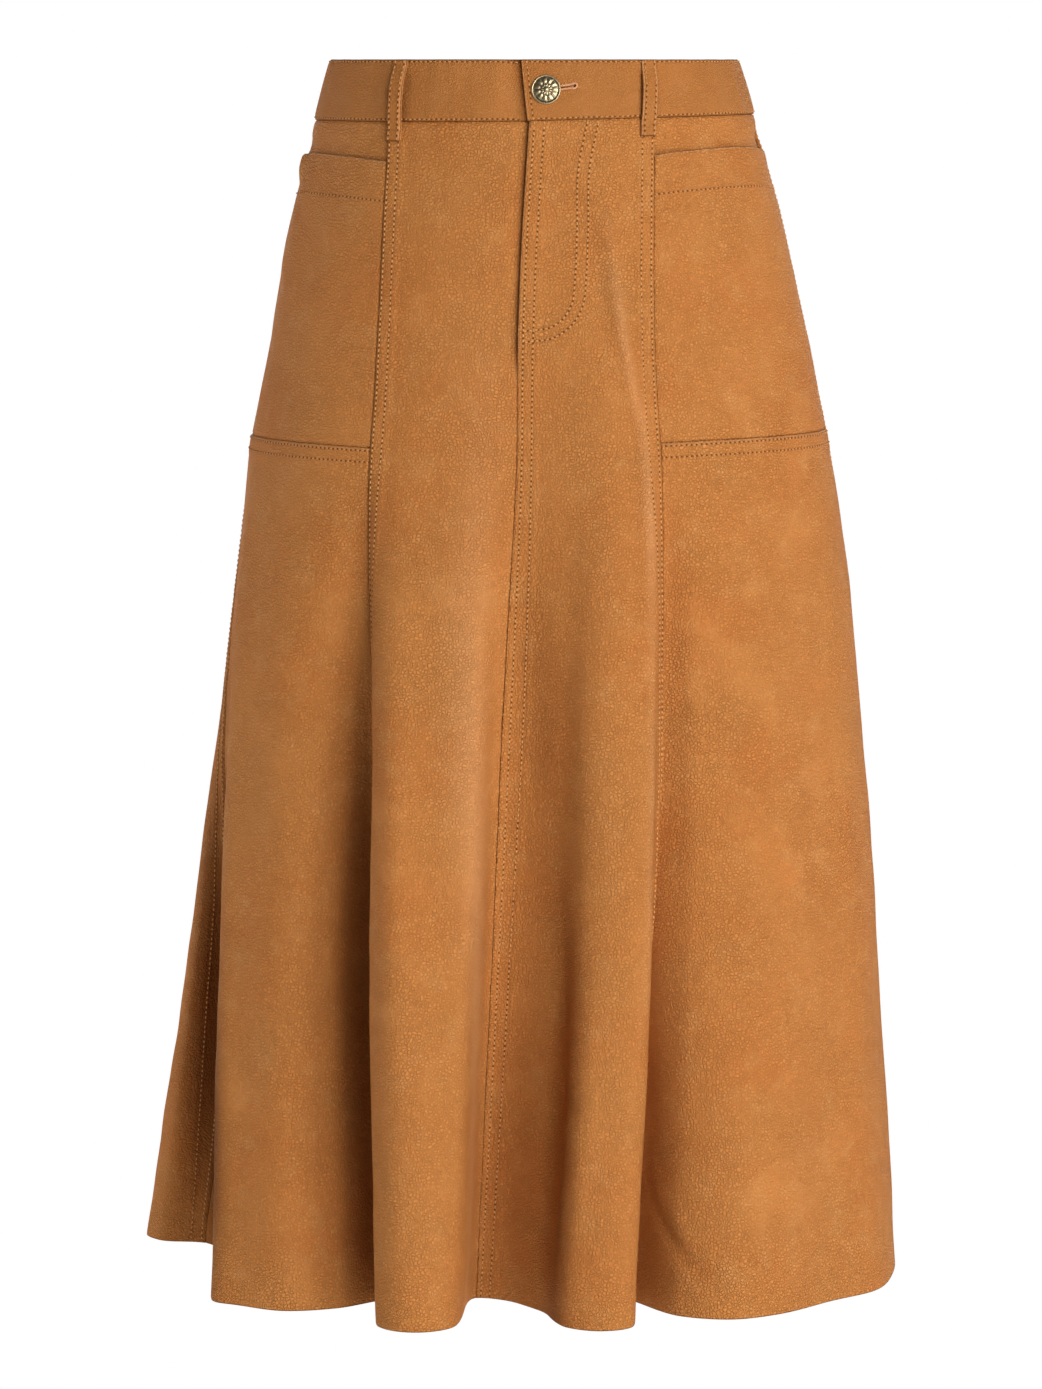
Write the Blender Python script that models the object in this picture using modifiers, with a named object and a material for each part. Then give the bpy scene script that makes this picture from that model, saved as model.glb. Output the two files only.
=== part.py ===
"""A-line leather midi skirt with a fly front, patch pockets, belt loops and a shank button.

It hangs as worn: the waistband is round a waist and the hem falls in deep soft folds.
Front is -Y, +X is the right-hand side seen from the front, +Z is up, sizes are in metres.
The origin is in the middle of the waistband, half way up it.

Angles go round the skirt from the front: 0 is centre front, 90 is +X, 180 is centre back.
A drop is a height measured down from the waistband's top edge.
"""

import math
from collections import namedtuple

import bmesh
import bpy
from mathutils import Matrix, Vector

# ---------------------------------------------------------------- driving dimensions
SKIRT_LENGTH = 0.7732
BAND_DEPTH = 0.0372
TOP_HEIGHT = BAND_DEPTH / 2.0
SEAM_GAP = 0.0003

PANEL_THICKNESS = 0.0014
BAND_THICKNESS = 0.0026
BAND_STANDS_PROUD = 0.0010
BAND_COLUMNS = 84
# The band's lapped end slants a little, and its other end dives under it to the right.
BAND_END_TOP_ANGLE = 0.5
BAND_END_FOOT_ANGLE = 2.1
BAND_UNDERLAP_ANGLE = 14.5
BAND_UNDERLAP_SINK = 0.0032
BAND_DIVE_START = 353.0
BAND_DIVE_SPAN = 6.0

PANEL_TOP = BAND_DEPTH + SEAM_GAP
POCKET_MOUTH = 0.0606
POCKET_MOUTH_ARCH = 0.0032
POCKET_BOTTOM = 0.2370
POCKET_FRONT_THICKNESS = 0.0014
POCKET_LIP = 0.0009
POCKET_LIP_FADE = 0.018
# The backing sinks between these two drops, from the yoke's level to behind the pocket.
POCKET_BACKING_SINK = 0.00178
BACKING_SINK_START = PANEL_TOP + 0.006
BACKING_SINK_END = POCKET_MOUTH - 0.008

FLY_END = 0.1740
FLY_END_FADE = 0.028
FLY_RISE = 0.0012
FLY_RISE_FADE = 0.025
FLY_UNDERLAP = 0.0140
FLY_UNDERLAP_TAPER = 0.014
FLY_UNDERLAP_END = FLY_END - 0.002
FLY_UNDERLAP_SINK = 0.0016
FLY_UNDERLAP_FADE = 0.012

LOOP_WIDTH = 0.0094
LOOP_THICKNESS = 0.0018
LOOP_END = 0.0486

BUTTON_RADIUS = 0.0091
BUTTON_SHANK_RADIUS = 0.0015
BUTTON_FROM_FRONT = 0.0142
BUTTON_DROP = 0.0185
BUTTON_STEPS = 28
BUTTONHOLE_LENGTH = 0.0185
BUTTONHOLE_WIDTH = 0.0036
BUTTONHOLE_STEPS = 20

# Between waist and hip the worn skirt leans: +X sits higher and -X lower. The lean turns
# back at LEAN_TURN, so that the far left side is level again. It sets in over one band
# depth, from the top edge on the right and from LEFT_LEAN_START on the left.
WORN_LEAN = 0.026
LEAN_TURN = -0.090
LEFT_LEAN_START = 0.026

# Below FOLD_START the folds grow out of the smooth hip line down to the hem.
FOLD_START = 0.2370
FOLD_GROWTH = 1.2

# Width of a column of faces at the hem, round a fold's crest and along a flat flank.
CREST_PITCH = 0.0115
FLANK_PITCH = 0.0210
UPPER_ROWS = 6
LOWER_ROWS = 12

# Steps over which a surface's direction is read: fold lines, degrees and metres of drop.
LINE_STEP = 0.02
ANGLE_STEP = 0.5
DROP_STEP = 0.002

# ---------------------------------------------------------------- tables of the form
# Smooth cross-sections of the skirt without its folds.
Section = namedtuple("Section", "name drop half_width front_depth back_depth aside")
SECTIONS = (
    Section("top edge", 0.0000, 0.1285, 0.0970, 0.0990, -0.0022),
    Section("waist seam", 0.0375, 0.1388, 0.1020, 0.1060, -0.0018),
    Section("high hip", 0.1200, 0.1606, 0.1110, 0.1230, -0.0012),
    Section("pocket bottom", 0.2370, 0.1840, 0.1185, 0.1390, 0.0),
    Section("thigh", 0.3500, 0.2022, 0.1290, 0.1480, 0.0004),
    Section("knee", 0.5400, 0.2225, 0.1470, 0.1600, 0.0008),
    Section("hem", 0.7732, 0.2420, 0.1650, 0.1720, 0.0010),
)

# Seam lines, in order round the skirt, with the point that each one reaches at the hem.
Seam = namedtuple("Seam", "name waist_angle hip_angle hem_x hem_y")
SEAMS = (
    Seam("centre_front", 2.5, -0.8, -0.0285, -0.1140),
    Seam("princess_right", 36.4, 27.8, 0.0670, -0.1120),
    Seam("side_right", 95.0, 96.0, 0.2290, 0.0300),
    Seam("centre_back", 180.0, 180.0, 0.0040, 0.1480),
    Seam("side_left", 265.0, 264.0, -0.2250, 0.0270),
    Seam("princess_left", 322.9, 328.7, -0.0780, -0.1220),
)

# Folds of each stretch between two seams. A fold with a half_width is a rounded crest:
# its two shoulders lie half_width to each side and set_back behind it, and it looks
# towards the angle facing. One without is a single line, such as the floor of a valley.
Fold = namedtuple("Fold", "name hip_angle hip_half hem_x hem_y half_width set_back facing")
FOLDS = {
    "centre_front": (
        Fold("slope foot", 3.2, 0.0, -0.0090, -0.1195, 0.0, 0.0, 0.0),
        Fold("slope", 9.0, 0.0, 0.0120, -0.1460, 0.0, 0.0, 0.0),
        Fold("right tube", 19.5, 5.4, 0.0560, -0.1975, 0.0200, 0.0100, 5.0),
    ),
    "princess_right": (
        Fold("right gore", 44.0, 10.0, 0.1350, -0.1590, 0.0320, 0.0125, 10.0),
        Fold("right hip", 73.0, 9.0, 0.2226, -0.0680, 0.0430, 0.0105, 65.0),
    ),
    "side_right": (
        Fold("back right valley", 112.0, 0.0, 0.1920, 0.0980, 0.0, 0.0, 0.0),
        Fold("back right outer", 128.0, 7.0, 0.1600, 0.1870, 0.0240, 0.0130, 148.0),
        Fold("back right floor", 146.0, 0.0, 0.1030, 0.1370, 0.0, 0.0, 0.0),
        Fold("back right inner", 162.0, 6.0, 0.0560, 0.2100, 0.0210, 0.0130, 171.0),
    ),
    "centre_back": (
        Fold("back left inner", 195.0, 6.0, -0.0430, 0.2070, 0.0190, 0.0120, 189.0),
        Fold("back left floor", 210.0, 0.0, -0.0980, 0.1380, 0.0, 0.0, 0.0),
        Fold("back left outer", 225.0, 6.5, -0.1640, 0.1820, 0.0220, 0.0130, 219.0),
        Fold("back left valley", 240.0, 0.0, -0.1970, 0.1090, 0.0, 0.0, 0.0),
        Fold("left flare", 253.0, 4.5, -0.2640, 0.0560, 0.0170, 0.0140, 262.0),
    ),
    "side_left": (
        Fold("left valley", 277.0, 0.0, -0.1610, -0.0450, 0.0, 0.0, 0.0),
        Fold("left roll", 291.0, 4.5, -0.1915, -0.1380, 0.0160, 0.0085, 303.0),
        Fold("left gore", 309.0, 0.0, -0.1450, -0.1605, 0.0, 0.0, 0.0),
        Fold("left gore inner", 319.5, 0.0, -0.1100, -0.1500, 0.0, 0.0, 0.0),
    ),
    "princess_left": (
        Fold("left tube", 342.0, 10.5, -0.0580, -0.2110, 0.0230, 0.0140, 359.0),
    ),
}

# How far a belt loop stands off the smooth waist at each drop. It is sewn down at both ends.
LoopRow = namedtuple("LoopRow", "drop stands_off")
LOOP_ROWS = (
    LoopRow(0.0006, 0.0014),
    LoopRow(0.0045, 0.0014),
    LoopRow(0.0110, 0.0031),
    LoopRow(0.0280, 0.0033),
    LoopRow(0.0370, 0.0022),
    LoopRow(0.0435, 0.0006),
    LoopRow(LOOP_END, 0.0004),
)
BeltLoop = namedtuple("BeltLoop", "name top_angle bottom_angle")
BELT_LOOPS = (
    BeltLoop("belt_loop_front_left", 324.6, 326.0),
    BeltLoop("belt_loop_front_right", 37.0, 33.2),
    BeltLoop("belt_loop_back_right", 133.0, 133.0),
    BeltLoop("belt_loop_centre_back", 180.0, 180.0),
    BeltLoop("belt_loop_back_left", 227.0, 227.0),
)

# The button's outline from the foot of its shank up to the top of its dome.
ButtonPoint = namedtuple("ButtonPoint", "radius height")
SHANK_LENGTH = BAND_UNDERLAP_SINK
BUTTON_PROFILE = (
    ButtonPoint(0.0, 0.0),
    ButtonPoint(BUTTON_SHANK_RADIUS, 0.0),
    ButtonPoint(BUTTON_SHANK_RADIUS, SHANK_LENGTH),
    ButtonPoint(BUTTON_RADIUS * 0.93, SHANK_LENGTH),
    ButtonPoint(BUTTON_RADIUS, SHANK_LENGTH + 0.0005),
    ButtonPoint(BUTTON_RADIUS, SHANK_LENGTH + 0.0012),
    ButtonPoint(BUTTON_RADIUS * 0.95, SHANK_LENGTH + 0.0017),
    ButtonPoint(BUTTON_RADIUS * 0.88, SHANK_LENGTH + 0.0015),
    ButtonPoint(BUTTON_RADIUS * 0.84, SHANK_LENGTH + 0.0012),
    ButtonPoint(BUTTON_RADIUS * 0.60, SHANK_LENGTH + 0.0021),
    ButtonPoint(BUTTON_RADIUS * 0.30, SHANK_LENGTH + 0.0026),
    ButtonPoint(0.0, SHANK_LENGTH + 0.0028),
)

# Base colours (linear RGB), roughness and metallic value of each finish.
Finish = namedtuple("Finish", "colour roughness metallic")
TAN_LEATHER = Finish((0.40, 0.165, 0.050), 0.55, 0.0)
POCKET_LEATHER = Finish((0.38, 0.155, 0.047), 0.57, 0.0)
EDGE_LEATHER = Finish((0.43, 0.180, 0.056), 0.53, 0.0)
ANTIQUE_BRASS = Finish((0.36, 0.27, 0.13), 0.32, 1.0)


# ---------------------------------------------------------------- small helpers
def mix(a, b, share):
    return a + (b - a) * share


def ease(share):
    """0 below 0, 1 above 1, and a smooth step between."""
    share = min(max(share, 0.0), 1.0)
    return share * share * (3.0 - 2.0 * share)


def section_value(drop, field):
    """A column of SECTIONS at any drop, on a smooth curve through its rows."""
    rows = [(row.drop, getattr(row, field)) for row in SECTIONS]
    k = 0
    while k < len(rows) - 2 and drop > rows[k + 1][0]:
        k += 1
    (d0, v0), (d1, v1) = rows[k], rows[k + 1]
    slope = (v1 - v0) / (d1 - d0)
    before = (v1 - rows[k - 1][1]) / (d1 - rows[k - 1][0]) if k > 0 else slope
    after = (rows[k + 2][1] - v0) / (rows[k + 2][0] - d0) if k + 2 < len(rows) else slope
    t = (drop - d0) / (d1 - d0)
    span = d1 - d0
    return (
        (2 * t**3 - 3 * t**2 + 1) * v0
        + (t**3 - 2 * t**2 + t) * span * before
        + (3 * t**2 - 2 * t**3) * v1
        + (t**3 - t**2) * span * after
    )


def smooth_outline(angle, drop):
    """The point of the unfolded skirt at this angle (degrees), seen from above."""
    a = math.radians(angle)
    depth = "front_depth" if math.cos(a) >= 0.0 else "back_depth"
    x = section_value(drop, "aside") + section_value(drop, "half_width") * math.sin(a)
    return Vector((x, -section_value(drop, depth) * math.cos(a)))


def height_at(x, drop):
    """Height of a point at this drop, with the lean of the worn skirt."""
    starts = 0.0 if x > 0.0 else LEFT_LEAN_START
    lean = min(max(drop - starts, 0.0) / BAND_DEPTH, 1.0)
    lean *= 1.0 - ease((drop - POCKET_BOTTOM) / (SKIRT_LENGTH - POCKET_BOTTOM))
    return TOP_HEIGHT - drop + WORN_LEAN * lean * max(x, 2.0 * LEAN_TURN - x)


# ---------------------------------------------------------------- fold lines
# One line down the skirt: its angle at waist and hip and its point at the hem.
Line = namedtuple("Line", "waist_angle hip_angle hem")


def fold_lines():
    """All the lines round the skirt, with the place of each seam among them."""
    lines = []
    seam_place = {}
    for k, seam in enumerate(SEAMS):
        following = SEAMS[(k + 1) % len(SEAMS)]
        turn = 360.0 if k == len(SEAMS) - 1 else 0.0
        next_waist = following.waist_angle + turn
        next_hip = following.hip_angle + turn
        seam_place[seam.name] = len(lines)
        lines.append(Line(seam.waist_angle, seam.hip_angle, Vector((seam.hem_x, seam.hem_y))))
        for fold in FOLDS[seam.name]:
            facing = math.radians(fold.facing)
            side = Vector((math.cos(facing), math.sin(facing))) * fold.half_width
            back = Vector((-math.sin(facing), math.cos(facing))) * fold.set_back
            crest = Vector((fold.hem_x, fold.hem_y))
            places = (-1, 0, 1) if fold.half_width > 0.0 else (0,)
            for place in places:
                hip = fold.hip_angle + place * fold.hip_half
                share = (hip - seam.hip_angle) / (next_hip - seam.hip_angle)
                waist = mix(seam.waist_angle, next_waist, share)
                lines.append(Line(waist, hip, crest + side * place + back * abs(place)))
    seam_place["end"] = len(lines)
    return lines, seam_place


LINES, SEAM_PLACE = fold_lines()


def line_point(index, drop):
    """Where one fold line is at this drop, seen from above."""
    line = LINES[index % len(LINES)]
    share = (drop - PANEL_TOP) / (POCKET_BOTTOM - PANEL_TOP)
    share = 1.0 - (1.0 - min(max(share, 0.0), 1.0)) ** 2
    angle = mix(line.waist_angle, line.hip_angle, share)
    grown = max(drop - FOLD_START, 0.0) / (SKIRT_LENGTH - FOLD_START)
    offset = line.hem - smooth_outline(line.hip_angle, SKIRT_LENGTH)
    return smooth_outline(angle, drop) + offset * grown**FOLD_GROWTH


def loop_point(place, drop):
    """A point of the closed centripetal curve through the fold lines at this drop."""
    first = math.floor(place)
    share = place - first
    points = [line_point(first + k, drop) for k in (-1, 0, 1, 2)]
    knots = [0.0]
    for before, after in zip(points, points[1:]):
        knots.append(knots[-1] + math.sqrt((after - before).length))
    t = mix(knots[1], knots[2], share)
    near = [
        points[k].lerp(points[k + 1], (t - knots[k]) / (knots[k + 1] - knots[k]))
        for k in (0, 1, 2)
    ]
    wide = [near[k].lerp(near[k + 1], (t - knots[k]) / (knots[k + 2] - knots[k])) for k in (0, 1)]
    return wide[0].lerp(wide[1], (t - knots[1]) / (knots[2] - knots[1]))


def skirt_point(place, drop):
    flat = loop_point(place, drop)
    return Vector((flat.x, flat.y, height_at(flat.x, drop)))


def surface(point_at, place, drop, place_step):
    """Point, direction along the row and outward normal of a surface at one place."""
    along = point_at(place + place_step, drop) - point_at(place - place_step, drop)
    up = point_at(place, drop - DROP_STEP) - point_at(place, drop + DROP_STEP)
    return point_at(place, drop), along / (2.0 * place_step), along.cross(up).normalized()


def lifted(point_at, place, drop, place_step, lift, aside):
    """A point of a surface, moved aside along its row and lifted off it."""
    if aside:
        _, along, _ = surface(point_at, place, drop, place_step)
        place += aside / along.length
    point, _, normal = surface(point_at, place, drop, place_step)
    return point + normal * lift


def on_skirt(place, drop, lift=0.0, aside=0.0):
    return lifted(skirt_point, place, drop, LINE_STEP, lift, aside)


def waist_point(angle, drop):
    flat = smooth_outline(angle, drop)
    return Vector((flat.x, flat.y, height_at(flat.x, drop)))


def on_waist(angle, drop, lift=0.0, aside=0.0):
    return lifted(waist_point, angle, drop, ANGLE_STEP, lift, aside)


# ---------------------------------------------------------------- making objects
SKIRT = bpy.data.collections.new("a_line_skirt")
CUTTERS = bpy.data.collections.new("cutters")


def clear_scene():
    for old in list(bpy.data.objects):
        bpy.data.objects.remove(old, do_unlink=True)
    bpy.context.scene.collection.children.link(SKIRT)
    bpy.context.scene.collection.children.link(CUTTERS)
    CUTTERS.hide_render = True


def finish_material(name, finish):
    material = bpy.data.materials.new(name)
    material.use_nodes = True
    shader = material.node_tree.nodes["Principled BSDF"]
    shader.inputs["Base Color"].default_value = (*finish.colour, 1.0)
    shader.inputs["Roughness"].default_value = finish.roughness
    shader.inputs["Metallic"].default_value = finish.metallic
    return material


def new_object(name, mesh, finish, collection=SKIRT):
    obj = bpy.data.objects.new(name, mesh)
    mesh.materials.append(finish_material(name, finish))
    collection.objects.link(obj)
    mesh.shade_smooth()
    mesh.set_sharp_from_angle(angle=math.radians(50.0))
    return obj


def wall(name, outer, inner, finish):
    """A closed wall lofted between an outer and an inner grid of points.

    Both grids are rows of points that run left to right, the top row first.
    """
    shape = bmesh.new()
    front = [[shape.verts.new(point) for point in row] for row in outer]
    back = [[shape.verts.new(point) for point in row] for row in inner]
    for k in range(len(front) - 1):
        for m in range(len(front[0]) - 1):
            shape.faces.new((front[k][m], front[k + 1][m], front[k + 1][m + 1], front[k][m + 1]))
            shape.faces.new((back[k][m], back[k][m + 1], back[k + 1][m + 1], back[k + 1][m]))
    rim_front = front[0] + [row[-1] for row in front[1:]]
    rim_front += front[-1][-2::-1] + [row[0] for row in front[-2:0:-1]]
    rim_back = back[0] + [row[-1] for row in back[1:]]
    rim_back += back[-1][-2::-1] + [row[0] for row in back[-2:0:-1]]
    for k in range(len(rim_front)):
        after = (k + 1) % len(rim_front)
        shape.faces.new((rim_front[k], rim_front[after], rim_back[after], rim_back[k]))
    mesh = bpy.data.meshes.new(name)
    shape.to_mesh(mesh)
    shape.free()
    return new_object(name, mesh, finish)


# ---------------------------------------------------------------- panels
def columns_between(first, last):
    """Places of the columns from one fold line to another, closer together on a crest."""
    places = [float(first)]
    for k in range(first, last):
        here = LINES[k % len(LINES)].hem
        there = LINES[(k + 1) % len(LINES)].hem
        width = (there - here).length
        pitch = CREST_PITCH if (k in CREST_SPANS) else FLANK_PITCH
        steps = max(round(width / pitch), 1)
        places += [k + step / steps for step in range(1, steps + 1)]
    return places


def crest_spans():
    """The intervals between lines that belong to a rounded crest."""
    spans = set()
    index = 0
    for seam in SEAMS:
        index += 1
        for fold in FOLDS[seam.name]:
            if fold.half_width > 0.0:
                spans |= {index, index + 1}
                index += 2
            index += 1
    return spans


CREST_SPANS = crest_spans()


def row_drops():
    """Drops of the rows of the panels from waist seam to hem."""
    upper = [mix(PANEL_TOP, POCKET_BOTTOM, k / UPPER_ROWS) for k in range(UPPER_ROWS)]
    lower = [mix(POCKET_BOTTOM, SKIRT_LENGTH, k / LOWER_ROWS) for k in range(LOWER_ROWS + 1)]
    return upper + lower


def panel(name, first_seam, last_seam, finish, top=PANEL_TOP, bottom=SKIRT_LENGTH,
          lift=None, underlap=None, thickness=PANEL_THICKNESS):
    """A panel between two seams. top may be a function of the share across the panel.

    lift(place, drop) moves a point off the skirt, and underlap(drop) says how far the
    last edge reaches past its seam.
    """
    first = SEAM_PLACE[first_seam]
    last = SEAM_PLACE[last_seam]
    places = columns_between(first, last)
    half_gap = SEAM_GAP / 2.0
    columns = [(places[0], lambda drop: half_gap)]
    columns += [(place, None) for place in places[1:-1]]
    if underlap:
        columns += [(places[-1], None)]
        columns += [(places[-1], lambda drop: underlap(drop) / 2.0)]
        columns += [(places[-1], underlap)]
    else:
        columns += [(places[-1], lambda drop: -half_gap)]
    top_at = top if callable(top) else (lambda share: top)
    least_row = 0.4 * (POCKET_BOTTOM - PANEL_TOP) / UPPER_ROWS
    inner = [d for d in row_drops() if top_at(0.5) + least_row < d < bottom - least_row]
    outer_face = []
    inner_face = []
    for index in range(len(inner) + 2):
        outer_row = []
        inner_row = []
        for place, aside in columns:
            share = (place - first) / (last - first)
            drop = ([top_at(share)] + inner + [bottom])[index]
            offset = aside(drop) if aside else 0.0
            rise = lift(place, drop) if lift else 0.0
            outer_row.append(on_skirt(place, drop, rise, offset))
            inner_row.append(on_skirt(place, drop, rise - thickness, offset))
        outer_face.append(outer_row)
        inner_face.append(inner_row)
    return wall(name, outer_face, inner_face, finish)


def past_fly(place, drop):
    """Distance from the fly edge to a place on the skirt, seen from above."""
    if place > len(LINES) / 2.0:
        place -= len(LINES)
    distance = (loop_point(place, drop) - loop_point(0.0, drop)).length
    return math.copysign(distance, place)


def fly_held(drop):
    """1 along the fly, and 0 below it where the centre front is a plain seam."""
    return 1.0 - ease((drop - FLY_END) / FLY_END_FADE)


def fly_front_lift(place, drop):
    """The lapped edge of the fly stands up a little over the underlap."""
    return FLY_RISE * fly_held(drop) * (1.0 - ease(past_fly(place, drop) / FLY_RISE_FADE))


def fly_underlap(drop):
    """How far the under side reaches past the fly edge. Below the fly it stops at the seam."""
    reach = ease((FLY_UNDERLAP_END - drop) / FLY_UNDERLAP_TAPER)
    return mix(-SEAM_GAP / 2.0, FLY_UNDERLAP, reach)


def front_centre_panels():
    panel("front_centre_right", "centre_front", "princess_right", TAN_LEATHER,
          lift=fly_front_lift)

    left_first = SEAM_PLACE["princess_left"]

    def sunk_under_fly(place, drop):
        if place <= left_first + 1:
            return 0.0
        nearness = ease(1.0 + past_fly(place, drop) / FLY_UNDERLAP_FADE)
        return -FLY_UNDERLAP_SINK * nearness * fly_held(drop)

    panel("front_centre_left", "princess_left", "end", TAN_LEATHER,
          lift=sunk_under_fly, underlap=fly_underlap)


def pocket_mouth(share):
    return POCKET_MOUTH - POCKET_MOUTH_ARCH * math.sin(math.pi * share)


def backing_lift(place, drop):
    """The yoke is level with the panels and dips behind the pocket front at its mouth."""
    share = (drop - BACKING_SINK_START) / (BACKING_SINK_END - BACKING_SINK_START)
    return -POCKET_BACKING_SINK * ease(share)


def mouth_lift(place, drop):
    return POCKET_LIP * (1.0 - ease((drop - POCKET_MOUTH) / POCKET_LIP_FADE))


def side_panels():
    """Yoke with pocket backing, pocket front and gore of both sides."""
    sides = (
        ("right", "princess_right", "side_right"),
        ("left", "side_left", "princess_left"),
    )
    seam_above = POCKET_BOTTOM - SEAM_GAP / 2.0
    seam_below = POCKET_BOTTOM + SEAM_GAP / 2.0
    for side, first, last in sides:
        panel(f"pocket_backing_{side}", first, last, POCKET_LEATHER,
              bottom=seam_above, lift=backing_lift)
        panel(f"pocket_front_{side}", first, last, TAN_LEATHER, top=pocket_mouth,
              bottom=seam_above, lift=mouth_lift, thickness=POCKET_FRONT_THICKNESS)
        panel(f"side_gore_{side}", first, last, TAN_LEATHER, top=seam_below)


def back_panels():
    panel("back_right", "side_right", "centre_back", TAN_LEATHER)
    panel("back_left", "centre_back", "side_left", TAN_LEATHER)


# ---------------------------------------------------------------- waistband
def band_lift(angle):
    """The underlap end of the band dives behind the lapped end."""
    dive = ease((angle - BAND_DIVE_START) / BAND_DIVE_SPAN)
    return BAND_STANDS_PROUD - BAND_UNDERLAP_SINK * dive


def waistband():
    """One strip round the waist, from its lapped end at centre front to its underlap."""
    outer_face = []
    inner_face = []
    for drop in (0.0, BAND_DEPTH / 2.0, BAND_DEPTH):
        start = mix(BAND_END_TOP_ANGLE, BAND_END_FOOT_ANGLE, drop / BAND_DEPTH)
        end = 360.0 + BAND_UNDERLAP_ANGLE
        angles = [mix(start, end, k / BAND_COLUMNS) for k in range(BAND_COLUMNS + 1)]
        outer_face.append([on_waist(a, drop, band_lift(a)) for a in angles])
        inner_face.append([on_waist(a, drop, band_lift(a) - BAND_THICKNESS) for a in angles])
    band = wall("waistband", outer_face, inner_face, EDGE_LEATHER)
    slot = band.modifiers.new("buttonhole", "BOOLEAN")
    slot.object = buttonhole_cutter()
    slot.operation = "DIFFERENCE"
    slot.solver = "EXACT"
    return band


def button_angle():
    """Angle round the waist at which the button sits."""
    across = BUTTON_FROM_FRONT - section_value(BUTTON_DROP, "aside")
    return math.degrees(math.asin(across / section_value(BUTTON_DROP, "half_width")))


def button_frame(lift):
    """Where the button sits: local Z looks out of the band, X along it towards the right."""
    _, along, normal = surface(waist_point, button_angle(), BUTTON_DROP, ANGLE_STEP)
    along.normalize()
    up = normal.cross(along)
    turn = Matrix((along, up, normal)).transposed().to_4x4()
    return Matrix.Translation(on_waist(button_angle(), BUTTON_DROP, lift)) @ turn


def buttonhole_cutter():
    """A slot with round ends through the lapped end of the band only."""
    shape = bmesh.new()
    above = BAND_THICKNESS
    below = BAND_THICKNESS + SEAM_GAP
    radius = BUTTONHOLE_WIDTH / 2.0
    bmesh.ops.create_cone(shape, cap_ends=True, segments=BUTTONHOLE_STEPS,
                          radius1=radius, radius2=radius, depth=above + below)
    for vert in shape.verts:
        if vert.co.x > 0.01 * radius:
            vert.co.x += BUTTONHOLE_LENGTH - BUTTONHOLE_WIDTH
        vert.co.z += (above - below) / 2.0
    mesh = bpy.data.meshes.new("buttonhole_cutter")
    shape.to_mesh(mesh)
    shape.free()
    cutter = new_object("buttonhole_cutter", mesh, EDGE_LEATHER, CUTTERS)
    cutter.matrix_world = button_frame(BAND_STANDS_PROUD)
    cutter.hide_render = True
    cutter.display_type = "WIRE"
    return cutter


# ---------------------------------------------------------------- belt loops and button
def belt_loop(loop):
    """A flat strap sewn to the band at its top and below the band at its foot."""
    outer_face = []
    inner_face = []
    for row in LOOP_ROWS:
        angle = mix(loop.top_angle, loop.bottom_angle, row.drop / LOOP_END)
        across = [side * LOOP_WIDTH / 2.0 for side in (-1.0, 0.0, 1.0)]
        inner_face.append([on_waist(angle, row.drop, row.stands_off, a) for a in across])
        lift = row.stands_off + LOOP_THICKNESS
        outer_face.append([on_waist(angle, row.drop, lift, a) for a in across])
    wall(loop.name, outer_face, inner_face, EDGE_LEATHER)


def button():
    """A domed shank button whose shank goes through the buttonhole to the underlap."""
    shape = bmesh.new()
    verts = [shape.verts.new((point.radius, 0.0, point.height)) for point in BUTTON_PROFILE]
    for lower, upper in zip(verts, verts[1:]):
        shape.edges.new((lower, upper))
    mesh = bpy.data.meshes.new("button")
    shape.to_mesh(mesh)
    shape.free()
    obj = new_object("button", mesh, ANTIQUE_BRASS)
    turned = obj.modifiers.new("turned", "SCREW")
    turned.steps = BUTTON_STEPS
    turned.render_steps = BUTTON_STEPS
    turned.use_merge_vertices = True
    turned.merge_threshold = 1e-5
    turned.use_normal_flip = True
    obj.matrix_world = button_frame(BAND_STANDS_PROUD + SEAM_GAP - SHANK_LENGTH)


def main():
    clear_scene()
    front_centre_panels()
    side_panels()
    back_panels()
    waistband()
    for loop in BELT_LOOPS:
        belt_loop(loop)
    button()


main()
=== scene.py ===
"""Looks of an a-line leather midi skirt: shaped panels, sewing, button, leather and light.

Front is -Y, +X is the right-hand side seen from the front, +Z is up, sizes are in metres.
The origin is in the middle of the waistband, half way up it.

Angles go round the skirt from the front: 0 is centre front, 90 is +X, 180 is centre back.
A drop is a height measured down from the waistband's top edge. A place counts the fold lines
round the skirt from the centre front seam, and across is the way round from that seam along
the leather, in metres, positive towards +X.
"""

import math
from collections import namedtuple

import bpy
import numpy as np
from mathutils import Matrix, Vector


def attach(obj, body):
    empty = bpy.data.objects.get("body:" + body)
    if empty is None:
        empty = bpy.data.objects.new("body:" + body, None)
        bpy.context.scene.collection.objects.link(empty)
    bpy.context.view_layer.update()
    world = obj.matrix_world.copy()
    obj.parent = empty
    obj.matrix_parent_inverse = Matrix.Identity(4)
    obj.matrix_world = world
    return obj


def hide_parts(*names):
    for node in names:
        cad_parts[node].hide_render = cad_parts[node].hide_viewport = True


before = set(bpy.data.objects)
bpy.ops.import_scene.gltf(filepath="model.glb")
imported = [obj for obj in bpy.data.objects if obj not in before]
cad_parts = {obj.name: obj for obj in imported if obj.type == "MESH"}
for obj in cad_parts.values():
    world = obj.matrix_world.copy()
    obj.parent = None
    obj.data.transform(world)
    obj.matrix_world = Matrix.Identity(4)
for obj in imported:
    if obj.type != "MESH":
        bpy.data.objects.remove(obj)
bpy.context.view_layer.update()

# ---------------------------------------------------------------- sizes shared with the solids
SKIRT_LENGTH = 0.7732
BAND_DEPTH = 0.0372
TOP_HEIGHT = BAND_DEPTH / 2.0
SEAM_GAP = 0.0003

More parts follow.
